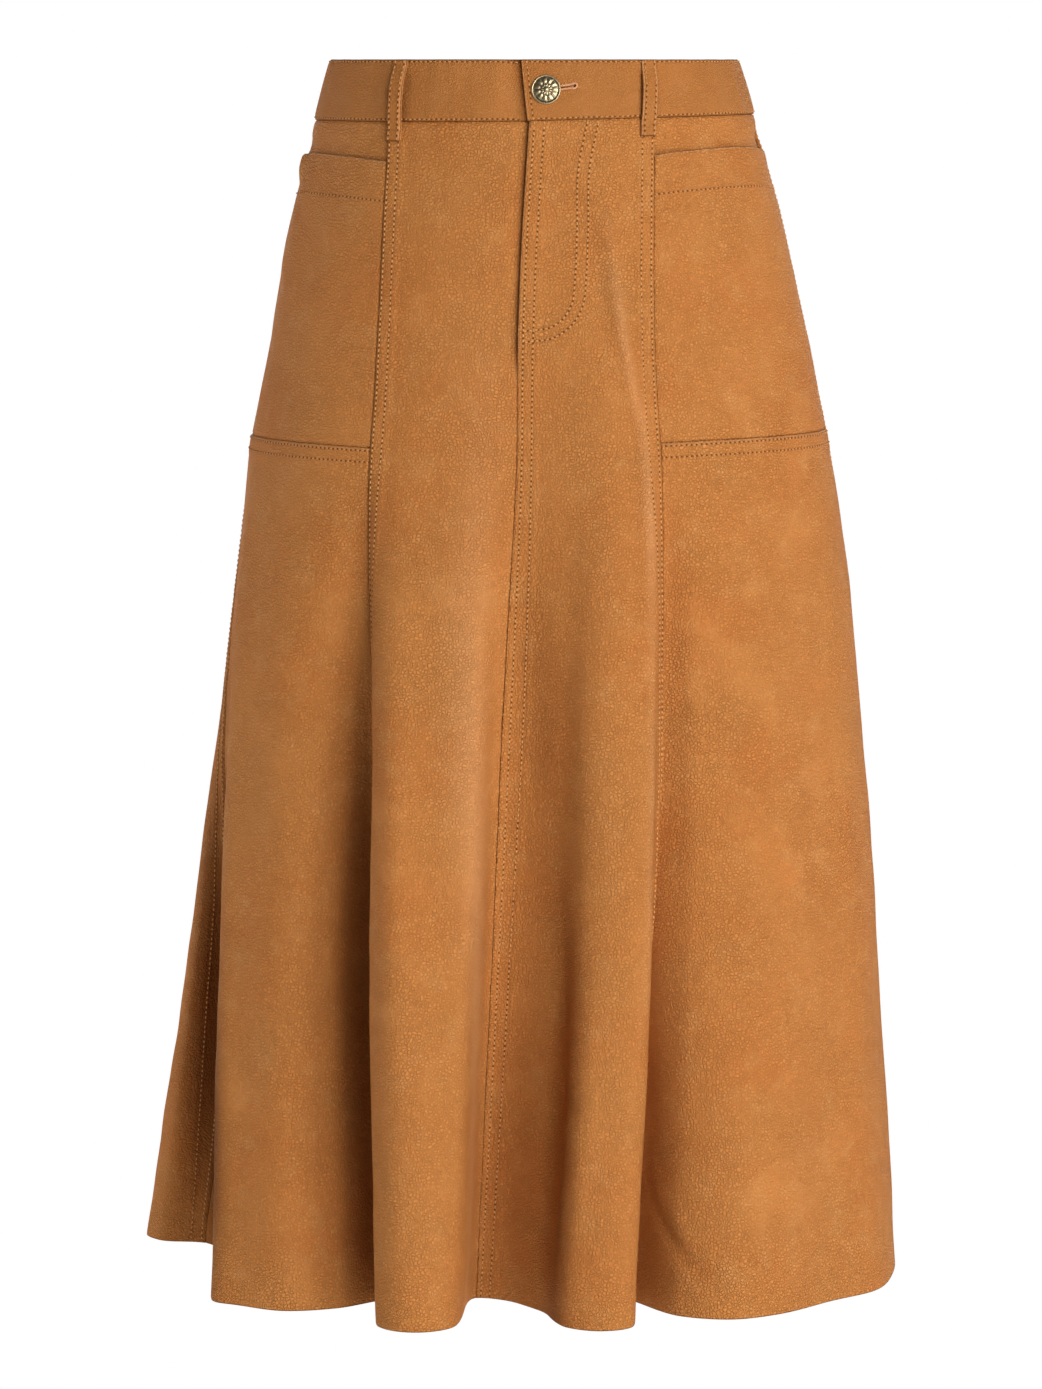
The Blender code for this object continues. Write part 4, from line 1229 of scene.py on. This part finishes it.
def stitching_tree(thread, hole):
    """Geometry Nodes that lay stitches and needle holes along rows of edges; each needle hole is a
    dark disc of painted shade.
    """
    tree = bpy.data.node_groups.new("stitching", "GeometryNodeTree")
    new_socket = tree.interface.new_socket
    new_socket("Rows", in_out="INPUT", socket_type="NodeSocketGeometry")
    for name, value in (
        ("Pitch", STITCH_PITCH),
        ("Stitch Length", STITCH_LENGTH),
        ("Thread Width", THREAD_WIDTH),
        ("Hole Radius", NEEDLE_HOLE),
        ("Turn", 0.0),
    ):
        socket = new_socket(name, in_out="INPUT", socket_type="NodeSocketFloat")
        socket.default_value = value
    seed = new_socket("Seed", in_out="INPUT", socket_type="NodeSocketInt")
    seed.default_value = STITCH_SEED
    new_socket("Stitches", in_out="OUTPUT", socket_type="NodeSocketGeometry")
    nodes = Nodes(tree)
    given = nodes.add("NodeGroupInput").outputs

    def part(name, share):
        return nodes.maths("MULTIPLY", given[name], share)

    def vector(**parts):
        return nodes.add("ShaderNodeCombineXYZ", parts).outputs["Vector"]

    def shape(kind, inputs, output="Geometry", **settings):
        return nodes.add(kind, inputs, **settings).outputs[output]

    rows = shape("GeometryNodeMeshToCurve", {"Mesh": given["Rows"]}, "Curve")
    even = shape("GeometryNodeResampleCurve", {"Curve": rows, "Length": given["Pitch"]},
                 "Curve", mode="LENGTH")

    bead = shape("GeometryNodeMeshUVSphere", {"Segments": 6, "Rings": 4, "Radius": 1.0}, "Mesh")
    oval = shape("GeometryNodeTransform", {
        "Geometry": bead,
        "Scale": vector(X=part("Stitch Length", 0.5), Y=part("Thread Width", 0.5),
                        Z=part("Thread Width", 0.45)),
        "Translation": vector(Z=part("Thread Width", 0.18)),
    })
    # Each needle hole is a dark disc: painted shade.
    disc = shape("GeometryNodeMeshCircle", {"Vertices": 6, "Radius": given["Hole Radius"]},
                 "Mesh", fill_type="NGON")
    beside = shape("GeometryNodeTransform", {
        "Geometry": disc, "Translation": vector(X=part("Pitch", 0.5), Z=HOLE_LIFT),
    })
    marked = shape("GeometryNodeStoreNamedAttribute", {
        "Geometry": beside, "Name": "needle_hole_shade", "Value": True,
    }, data_type="BOOLEAN", domain="FACE")
    both = nodes.add("GeometryNodeJoinGeometry")
    nodes.feed(both, {0: marked})
    nodes.feed(both, {0: oval})

    out = shape("GeometryNodeInputNamedAttribute", {"Name": "out"}, "Attribute",
                data_type="FLOAT_VECTOR")
    facing = shape("FunctionNodeAxesToRotation", {
        "Primary Axis": out, "Secondary Axis": shape("GeometryNodeInputTangent", {}, "Tangent"),
    }, "Rotation", primary_axis="Z", secondary_axis="X")
    wobble = shape("FunctionNodeRandomValue", {
        2: -STITCH_WOBBLE, 3: STITCH_WOBBLE, "Seed": given["Seed"],
    }, 1, data_type="FLOAT")
    rotation = shape("FunctionNodeRotateRotation", {
        "Rotation": facing, "Rotate By": vector(Z=nodes.maths("ADD", given["Turn"], wobble)),
    }, "Rotation", rotation_space="LOCAL")

    laid = shape("GeometryNodeInstanceOnPoints", {
        "Points": even, "Instance": both.outputs["Geometry"], "Rotation": rotation,
    }, "Instances")
    real = shape("GeometryNodeRealizeInstances", {"Geometry": laid})
    smooth = shape("GeometryNodeSetShadeSmooth", {"Geometry": real})
    threads = shape("GeometryNodeSetMaterial", {"Geometry": smooth, "Material": thread})
    is_hole = shape("GeometryNodeInputNamedAttribute", {"Name": "needle_hole_shade"}, "Attribute",
                    data_type="BOOLEAN")
    holes = shape("GeometryNodeSetMaterial", {
        "Geometry": threads, "Selection": is_hole, "Material": hole,
    })
    nodes.add("NodeGroupOutput", {0: holes})
    return tree


def sew(name, tree, rows, **sizes):
    """Stitches along rows of (points, normals), as one plain mesh."""
    points = np.concatenate([row[0] for row in rows])
    normals = np.concatenate([row[1] for row in rows])
    edges = []
    start = 0
    for row in rows:
        edges += [(start + k, start + k + 1) for k in range(len(row[0]) - 1)]
        start += len(row[0])
    mesh = bpy.data.meshes.new(name)
    mesh.from_pydata(points.tolist(), edges, [])
    out = mesh.attributes.new("out", "FLOAT_VECTOR", "POINT")
    out.data.foreach_set("vector", normals.astype(np.float32).ravel())
    piece = new_object(name, mesh)
    sewn = piece.modifiers.new("stitching", "NODES")
    sewn.node_group = tree
    sockets = {item.name: item.identifier for item in tree.interface.items_tree
               if item.in_out == "INPUT"}
    for key, value in sizes.items():
        sewn[sockets[key.replace("_", " ").title()]] = value
    return as_plain_mesh(piece)


ROW_STEP = 0.004
ROW_LIFT = 0.00012
BUTTONHOLE_STITCHES = {
    "pitch": 0.0006,
    "stitch_length": 0.0015,
    "thread_width": 0.0006,
    "hole_radius": 0.00005,
    "turn": math.pi / 2.0,
}
SLOT_ROW = 0.0012
EYELET_ROW = 0.0016
ROW_TOP_INSET = 0.0012
ROW_HEM_INSET = 0.003
TOP_ROW_POINTS = 60


def row_on_panel(panel, ways, drops, lift=0.0):
    return panel_face(panel, place_for(ways, drops), drops, lift)


def rows_of_panel(panel):
    """Every row of topstitching on one panel."""
    rows = []
    top = highest(panel)
    downs = np.linspace(top + ROW_TOP_INSET, panel.bottom - ROW_HEM_INSET,
                        round((panel.bottom - top) / ROW_STEP))
    first, last = panel_ends(panel, downs)
    for distance in panel.first_edge.rows:
        rows.append(row_on_panel(panel, first + distance, downs))
    for distance in panel.last_edge.rows:
        rows.append(row_on_panel(panel, last - distance, downs))
    for distance in panel.top_edge.rows:
        drop = np.full(TOP_ROW_POINTS, top + distance)
        first, last = panel_ends(panel, drop)
        ways = mix(first + ROW_TOP_INSET, last - ROW_TOP_INSET,
                   np.linspace(0.0, 1.0, TOP_ROW_POINTS))
        place = place_for(ways, drop)
        share = (drop - top) / (panel.bottom - top)
        drop = mix(panel_top(panel, place), panel.bottom, share)
        rows.append(panel_face(panel, place, drop, ROW_LIFT))
    if panel.name == "front_centre_right":
        for inwards in (0.0, FLY_CURVE_GAUGE):
            line = fly_curve(inwards)
            rows.append(row_on_panel(panel, line[:, 0], line[:, 1], ROW_LIFT))
    return rows


def rows_of_band():
    """Rows along the band's top and foot, and down its lapped end."""
    rows = []
    for drop in (BAND_EDGE_ROW, BAND_DEPTH - BAND_EDGE_ROW):
        start = float(band_start(drop)) + math.degrees(BAND_END_ROW / BAND_END_RADIUS)
        angles = np.arange(start, BAND_DIVE_START + BAND_DIVE_SPAN, 1.5)
        rows.append(band_face(angles, np.full(angles.shape, drop)))
    drops = np.linspace(BAND_EDGE_ROW, BAND_DEPTH - BAND_EDGE_ROW, 12)
    angles = band_start(drops) + math.degrees(BAND_END_ROW / BAND_END_RADIUS)
    rows.append(band_face(angles, drops))
    return rows


def rows_of_loop(loop):
    drops = np.linspace(LOOP_ROWS[0].drop + 0.001, LOOP_END - 0.001, 24)
    return [loop_face(loop, np.full(drops.shape, side * LOOP_ROW_ASIDE), drops)
            for side in (-1.0, 1.0)]


def buttonhole_rows():
    """The path of the buttonhole stitches: along the slot, round its eyelet and back."""
    reach = BUTTONHOLE_LENGTH - EYELET_RADIUS
    path = [(reach * k / 16.0, -SLOT_ROW) for k in range(15)]
    path += [(reach + EYELET_ROW * math.cos(a), EYELET_ROW * math.sin(a))
             for a in np.linspace(-2.3, 2.3, 13)]
    path += [(reach * (1.0 - k / 16.0), SLOT_ROW) for k in range(2, 17)]
    angle = button_angle()
    turn = math.degrees(1.0 / float(section_value(BUTTON_DROP, "half_width")))
    angles = np.array([angle + x * turn for x, y in path])
    drops = np.array([BUTTON_DROP - y - SLOT_RISE * x for x, y in path])
    return [band_face(angles, drops)]


# ---------------------------------------------------------------- finishes
def new_group(name, inputs):
    """A shader node group with these inputs: what adds its nodes, and what it is given."""
    group = bpy.data.node_groups.new(name, "ShaderNodeTree")
    kinds = {1: "NodeSocketFloat", 3: "NodeSocketVector", 4: "NodeSocketColor"}
    for key, value in inputs.items():
        kind = kinds[np.size(value)]
        socket = group.interface.new_socket(key, in_out="INPUT", socket_type=kind)
        socket.default_value = value
    nodes = Nodes(group)
    return nodes, nodes.add("NodeGroupInput").outputs


def close_group(nodes, results):
    """Gives a node group its outputs."""
    kinds = {"VALUE": "NodeSocketFloat", "RGBA": "NodeSocketColor"}
    for key, result in results.items():
        kind = kinds[result.type]
        nodes.tree.interface.new_socket(key, in_out="OUTPUT", socket_type=kind)
    nodes.add("NodeGroupOutput", results)
    return nodes.tree


def pebble_group():
    """Pebbled grain: domed cells, and drawn-out ones where the leather is strained."""
    nodes, given = new_group("pebble_grain", {
        "Vector": (0.0, 0.0, 0.0),
        "Cells per Metre": 640.0,
        "Strain Turn": (0.0, 0.0, 0.0),
    })
    where = given["Vector"]
    warp = nodes.noise(where, 380.0, 1.0, output="Color")
    shift = nodes.add("ShaderNodeVectorMath", {0: warp, 1: (0.0013,) * 3},
                      operation="MULTIPLY").outputs[0]
    moved = nodes.add("ShaderNodeVectorMath", {0: where, 1: shift}, operation="ADD").outputs[0]
    drawn = nodes.add("ShaderNodeMapping", {
        "Vector": moved, "Rotation": given["Strain Turn"], "Scale": (1.9, 1.0, 1.0),
    }, vector_type="TEXTURE").outputs["Vector"]

    def cells(vector, feature, output):
        return nodes.add("ShaderNodeTexVoronoi", {
            "Vector": vector, "Scale": given["Cells per Metre"],
        }, feature=feature).outputs[output]

    def domes(vector, softness):
        return nodes.ranged(cells(vector, "DISTANCE_TO_EDGE", "Distance"), 0.0, softness,
                            interpolation_type="SMOOTHSTEP")

    def cell_tone(vector):
        each = cells(vector, "F1", "Color")
        return nodes.add("ShaderNodeSeparateColor", {"Color": each}).outputs["Red"]

    share = nodes.ranged(nodes.noise(where, 15.0), 0.6, 0.8)
    dome = nodes.mixed(share, domes(moved, 0.24), domes(drawn, 0.26), "FLOAT")
    reach = nodes.ranged(nodes.noise(where, 24.0, 3.0, 0.55), 0.36, 0.66, 0.75, 1.0)
    furrow = nodes.maths("MULTIPLY", nodes.noise(drawn, 300.0, 3.0, 0.6), share)
    deeper = nodes.maths("MULTIPLY_ADD", furrow, 0.6, dome)
    return close_group(nodes, {
        "Height": nodes.maths("MULTIPLY", deeper, reach),
        "Crevice": nodes.maths("SUBTRACT", 1.0, dome),
        "Cell Tone": nodes.mixed(share, cell_tone(moved), cell_tone(drawn), "FLOAT"),
    })


MEAN_CREVICE = 0.35


def tone_group():
    """Tone of dyed leather: soft redder and paler clouds, darker in the crevices of the grain,
    with a share of the grain's cells paler, on the pebbled leathers as painted glints, painted
    shade in seams and folds, and paler lines, partly rubbed leather and partly painted highlight.
    """
    tan = (0.5, 0.2, 0.07, 1.0)
    nodes, given = new_group("leather_tone", {
        "Vector": (0.0, 0.0, 0.0),
        "Base": tan,
        "Redder": tan,
        "Paler": tan,
        "Crevice": 0.0,
        "Crevice Darkness": 0.15,
        "Cell Tone": 0.5,
        "Cell Contrast": 0.1,
        "Tip Glint And Highlight Colour": (0.62, 0.3, 0.12, 1.0),
        "Tip Share": 0.5,
        "Seam": 0.0,
        "Painted Shade Colour": (0.12, 0.034, 0.006, 1.0),
        "Wear And Highlight": 0.0,
    })
    where = given["Vector"]
    red = nodes.ranged(nodes.noise(where, 17.0), 0.36, 0.76)
    reddened = nodes.mixed(red, given["Base"], given["Redder"])
    flecks = nodes.noise(where, 60.0, 5.0, 0.6)
    paled = nodes.mixed(nodes.ranged(flecks, 0.5, 0.74), reddened, given["Paler"])
    shown = nodes.ranged(nodes.noise(where, 26.0, 4.0, 0.6), 0.38, 0.64, 0.3, 1.0)
    low = nodes.maths("SUBTRACT", given["Crevice"], MEAN_CREVICE)
    shade = nodes.maths("MULTIPLY", low, given["Crevice Darkness"])
    swing = nodes.maths("SUBTRACT", given["Cell Tone"], 0.5)
    level = nodes.maths("MULTIPLY", swing, given["Cell Contrast"])
    change = nodes.maths("SUBTRACT", level, shade)
    keep = nodes.maths("MULTIPLY_ADD", change, shown, 1.0)
    toned = nodes.add("ShaderNodeVectorMath", {0: paled, "Scale": keep},
                      operation="SCALE").outputs[0]
    tips_and_glints = nodes.ranged(given["Cell Tone"], 0.45, 1.0, 0.0, given["Tip Share"])
    # Paler on glinting cells, and along the paler lines that are partly rubbed leather and partly
    # painted highlight.
    worn = nodes.maths("MAXIMUM", nodes.maths("MULTIPLY", tips_and_glints, shown), given["Wear And Highlight"])
    tipped = nodes.mixed(worn, toned, given["Tip Glint And Highlight Colour"])
    return close_group(nodes, {
        # Seam mixes in the painted shade.
        "Colour": nodes.mixed(given["Seam"], tipped, given["Painted Shade Colour"]),
        "Roughness": nodes.ranged(flecks, to_low=0.76, to_high=0.62),
    })


TAN_THREAD = ("tan_thread", (0.65, 0.335, 0.125), (0.49, 0.23, 0.078))
DARK_THREAD = ("dark_tan_thread", (0.56, 0.262, 0.092), (0.42, 0.18, 0.06))
ROSE_THREAD = ("rose_thread", (0.78, 0.44, 0.26), (0.56, 0.27, 0.14))
STRAIN_TURN = (0.0, math.radians(32.0), 0.0)
# tip is the colour painted on a share of the grain's cells, as painted glints on the pebbled
# leathers, and on the paler lines, partly rubbed leather and partly painted highlight.
Finish = namedtuple(
    "Finish", "name base redder paler tip crevice_darkness cell_contrast tip_share bump cells"
)
LEATHER = Finish("tan_pebbled_leather", (0.462, 0.179, 0.047), (0.452, 0.158, 0.039),
                 (0.484, 0.2, 0.058), (0.64, 0.31, 0.13), 0.22, 0.06, 0.03, 0.00064, 500.0)
BAND_LEATHER = Finish("tan_smooth_leather", (0.368, 0.141, 0.037), (0.362, 0.13, 0.032),
                      (0.38, 0.15, 0.042), (0.6, 0.285, 0.115), 0.08, 0.04, 0.03, 0.00034,
                      560.0)
SUEDE = Finish("suede_flesh_side", (0.36, 0.165, 0.066), (0.33, 0.145, 0.055),
               (0.4, 0.19, 0.08), (0.45, 0.23, 0.105), 0.05, 0.1, 0.2, 0.00006, 1900.0)


def new_material(name):
    """A material, what adds its nodes, and its shader."""
    material = bpy.data.materials.new(name)
    material.use_nodes = True
    nodes = Nodes(material.node_tree)
    return material, nodes, material.node_tree.nodes["Principled BSDF"]


def leather_material(finish, pebbles, tones):
    material, nodes, shader = new_material(finish.name)
    where = nodes.where()
    grain = nodes.add("ShaderNodeGroup", node_tree=pebbles)
    nodes.feed(grain, {
        "Vector": where,
        "Cells per Metre": finish.cells,
        "Strain Turn": STRAIN_TURN,
    })
    tone = nodes.add("ShaderNodeGroup", node_tree=tones)
    nodes.feed(tone, {
        "Vector": where,
        "Base": finish.base,
        "Redder": finish.redder,
        "Paler": finish.paler,
        "Tip Glint And Highlight Colour": finish.tip,
        "Tip Share": finish.tip_share,
        "Crevice": grain.outputs["Crevice"],
        "Crevice Darkness": finish.crevice_darkness,
        "Cell Tone": grain.outputs["Cell Tone"],
        "Cell Contrast": finish.cell_contrast,
        # The painted shade goes in as Seam, and the paler lines, partly rubbed leather and partly
        # painted highlight, as the next input.
        "Seam": nodes.attribute("painted_shade"),
        "Wear And Highlight": nodes.attribute("edge_wear_and_highlight"),
    })
    nodes.feed(shader, {
        "Base Color": tone.outputs["Colour"],
        "Roughness": tone.outputs["Roughness"],
        "Normal": nodes.relief(grain.outputs["Height"], finish.bump),
        "Specular IOR Level": 0.05,
    })
    return material


def thread_material(name, colour, dark):
    """Spun thread: fine fibres with darker gaps."""
    material, nodes, shader = new_material(name)
    fibre = nodes.noise(nodes.where(), 2600.0, roughness=0.6)
    nodes.feed(shader, {
        "Base Color": nodes.mixed(fibre, dark, colour),
        "Normal": nodes.relief(fibre, 0.0001),
        "Roughness": 0.75,
        "Specular IOR Level": 0.15,
    })
    return material


# Dark discs over the needle holes: painted shade of the holes.
def needle_hole_shade_material():
    material, nodes, shader = new_material("needle_hole_shade")
    depth = nodes.noise(nodes.where(), 900.0)
    nodes.feed(shader, {
        "Base Color": nodes.mixed(depth, (0.125, 0.038, 0.008), (0.19, 0.064, 0.014)),
        "Roughness": 0.9,
        "Specular IOR Level": 0.05,
    })
    return material


def brass_material():
    """Antique brass: bright on what stands up, brown in what lies low."""
    material, nodes, shader = new_material("antique_brass")
    sharpness = nodes.add("ShaderNodeNewGeometry").outputs["Pointiness"]
    stain = nodes.noise(nodes.where(), 700.0, 4.0)
    both = nodes.maths("ADD", nodes.ranged(sharpness, 0.47, 0.53), stain)
    share = nodes.ranged(both, 0.55, 1.25)
    nodes.feed(shader, {
        "Base Color": nodes.mixed(share, (0.055, 0.038, 0.018), (0.4, 0.32, 0.19)),
        "Roughness": nodes.ranged(share, to_low=0.62, to_high=0.38),
        "Metallic": 1.0,
    })
    return material


# ---------------------------------------------------------------- stage, light and camera
FLOOR_HEIGHT = -1.08
FLOOR_HALF_SIZE = 14.0
CAMERA_DISTANCE = 3.5
CAMERA_TURN = math.radians(5.0)
CAMERA_PITCH = math.radians(6.588)
CAMERA_AIM = math.atan(16.0 / 5494.0)
CAMERA_LENS = 142.4
AreaLight = namedtuple("AreaLight", "name azimuth height distance size energy")
LIGHTS = (
    AreaLight("front_softbox", 34.0, 1.0, 3.0, 1.5, 64.0),
    AreaLight("front_right", 48.0, 0.4, 3.0, 1.0, 33.0),
    AreaLight("front", 20.0, 0.4, 3.0, 1.0, 24.0),
    AreaLight("right_side", 125.0, 0.4, 3.0, 1.0, 22.0),
    AreaLight("left_side", -118.0, 0.4, 3.0, 1.0, 36.0),
    AreaLight("left_front", -75.0, 0.4, 3.0, 1.0, 29.0),
    AreaLight("rear_right", 160.0, 0.7, 2.8, 1.6, 24.0),
    AreaLight("rear_left", -165.0, 0.6, 2.8, 1.6, 24.0),
)
AIM_HEIGHT = -0.37
AMBIENT = 0.02
SENSOR_WIDTH = 36.0


def white_to_camera(nodes, shader, output):
    """Shows a surface white to the camera, while it lights the rest of the set as it is."""
    white = nodes.add("ShaderNodeEmission", {"Color": (1.0, 1.0, 1.0), "Strength": 1.0})
    seen = nodes.add("ShaderNodeLightPath").outputs["Is Camera Ray"]
    both = nodes.add("ShaderNodeMixShader", {
        0: seen, 1: shader.outputs[0], 2: white.outputs[0],
    })
    nodes.feed(nodes.tree.nodes[output], {"Surface": both.outputs[0]})


def make_stage():
    size = FLOOR_HALF_SIZE
    points = [(x, y, FLOOR_HEIGHT) for x, y in (
        (-size, -size), (size, -size), (size, size), (-size, size))]
    material, nodes, shader = new_material("pale_floor")
    nodes.feed(shader, {"Base Color": (0.8, 0.8, 0.8), "Roughness": 0.9})
    white_to_camera(nodes, shader, "Material Output")
    new_piece("floor", points, [(0, 1, 2, 3)], (material,))


def make_light():
    world = bpy.data.worlds.new("white_studio")
    bpy.context.scene.world = world
    world.use_nodes = True
    nodes = Nodes(world.node_tree)
    around = world.node_tree.nodes["Background"]
    nodes.feed(around, {"Color": (1.0, 1.0, 1.0), "Strength": AMBIENT})
    white_to_camera(nodes, around, "World Output")
    for light in LIGHTS:
        lamp = bpy.data.lights.new(light.name, "AREA")
        lamp.energy = light.energy
        lamp.size = light.size
        turn = math.radians(light.azimuth)
        holder = new_object(light.name, lamp)
        holder.location = (light.distance * math.sin(turn), -light.distance * math.cos(turn),
                           AIM_HEIGHT + light.height)
        aim = Vector((0.0, 0.0, AIM_HEIGHT)) - holder.location
        holder.rotation_euler = aim.to_track_quat("-Z", "Y").to_euler()
    bpy.context.scene.view_settings.view_transform = "Standard"


def make_camera():
    lens = bpy.data.cameras.new("camera")
    lens.lens = CAMERA_LENS
    lens.sensor_width = SENSOR_WIDTH
    camera = new_object("camera", lens)
    camera.location = (CAMERA_DISTANCE * math.sin(CAMERA_TURN),
                       -CAMERA_DISTANCE * math.cos(CAMERA_TURN), TOP_HEIGHT)
    camera.rotation_euler = (math.pi / 2.0 - CAMERA_PITCH, 0.0, CAMERA_TURN + CAMERA_AIM)
    bpy.context.scene.camera = camera


# ---------------------------------------------------------------- putting it together
def hang(piece, node):
    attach(piece, "root")
    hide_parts(node)


def hang_stitches(piece):
    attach(piece, "root")
    return piece


def main():
    pebbles = pebble_group()
    tones = tone_group()
    leather = leather_material(LEATHER, pebbles, tones)
    suede = leather_material(SUEDE, pebbles, tones)
    band_leather = leather_material(BAND_LEATHER, pebbles, tones)
    thread = thread_material(*TAN_THREAD)
    band_thread = thread_material(*DARK_THREAD)
    pale_thread = thread_material(*ROSE_THREAD)
    hole = needle_hole_shade_material()
    brass = brass_material()
    faces = (leather, suede)
    tree = stitching_tree(thread, hole)
    band_tree = stitching_tree(band_thread, hole)

    for panel in PANELS:
        piece = make_panel(panel, faces)
        hang(piece, panel.name)
        rows = rows_of_panel(panel)
        if rows:
            used = band_tree if panel.top_edge.rows else tree
            hang_stitches(sew(f"{panel.name}_stitches", used, rows))

    band = make_waistband((band_leather, suede))
    hang(band, "waistband")
    band_rows = hang_stitches(sew("waistband_stitches", band_tree, rows_of_band()))
    hole_tree = stitching_tree(pale_thread, hole)
    hole_rows = hang_stitches(sew(
        "buttonhole_stitches", hole_tree, buttonhole_rows(), **BUTTONHOLE_STITCHES,
    ))

    for loop in BELT_LOOPS:
        piece = make_belt_loop(loop, (band_leather, suede))
        hang(piece, loop.name)
        rows = hang_stitches(sew(f"{loop.name}_stitches", band_tree, rows_of_loop(loop)))

    hang(make_button(brass), "button")
    make_stage()
    make_light()
    make_camera()


main()
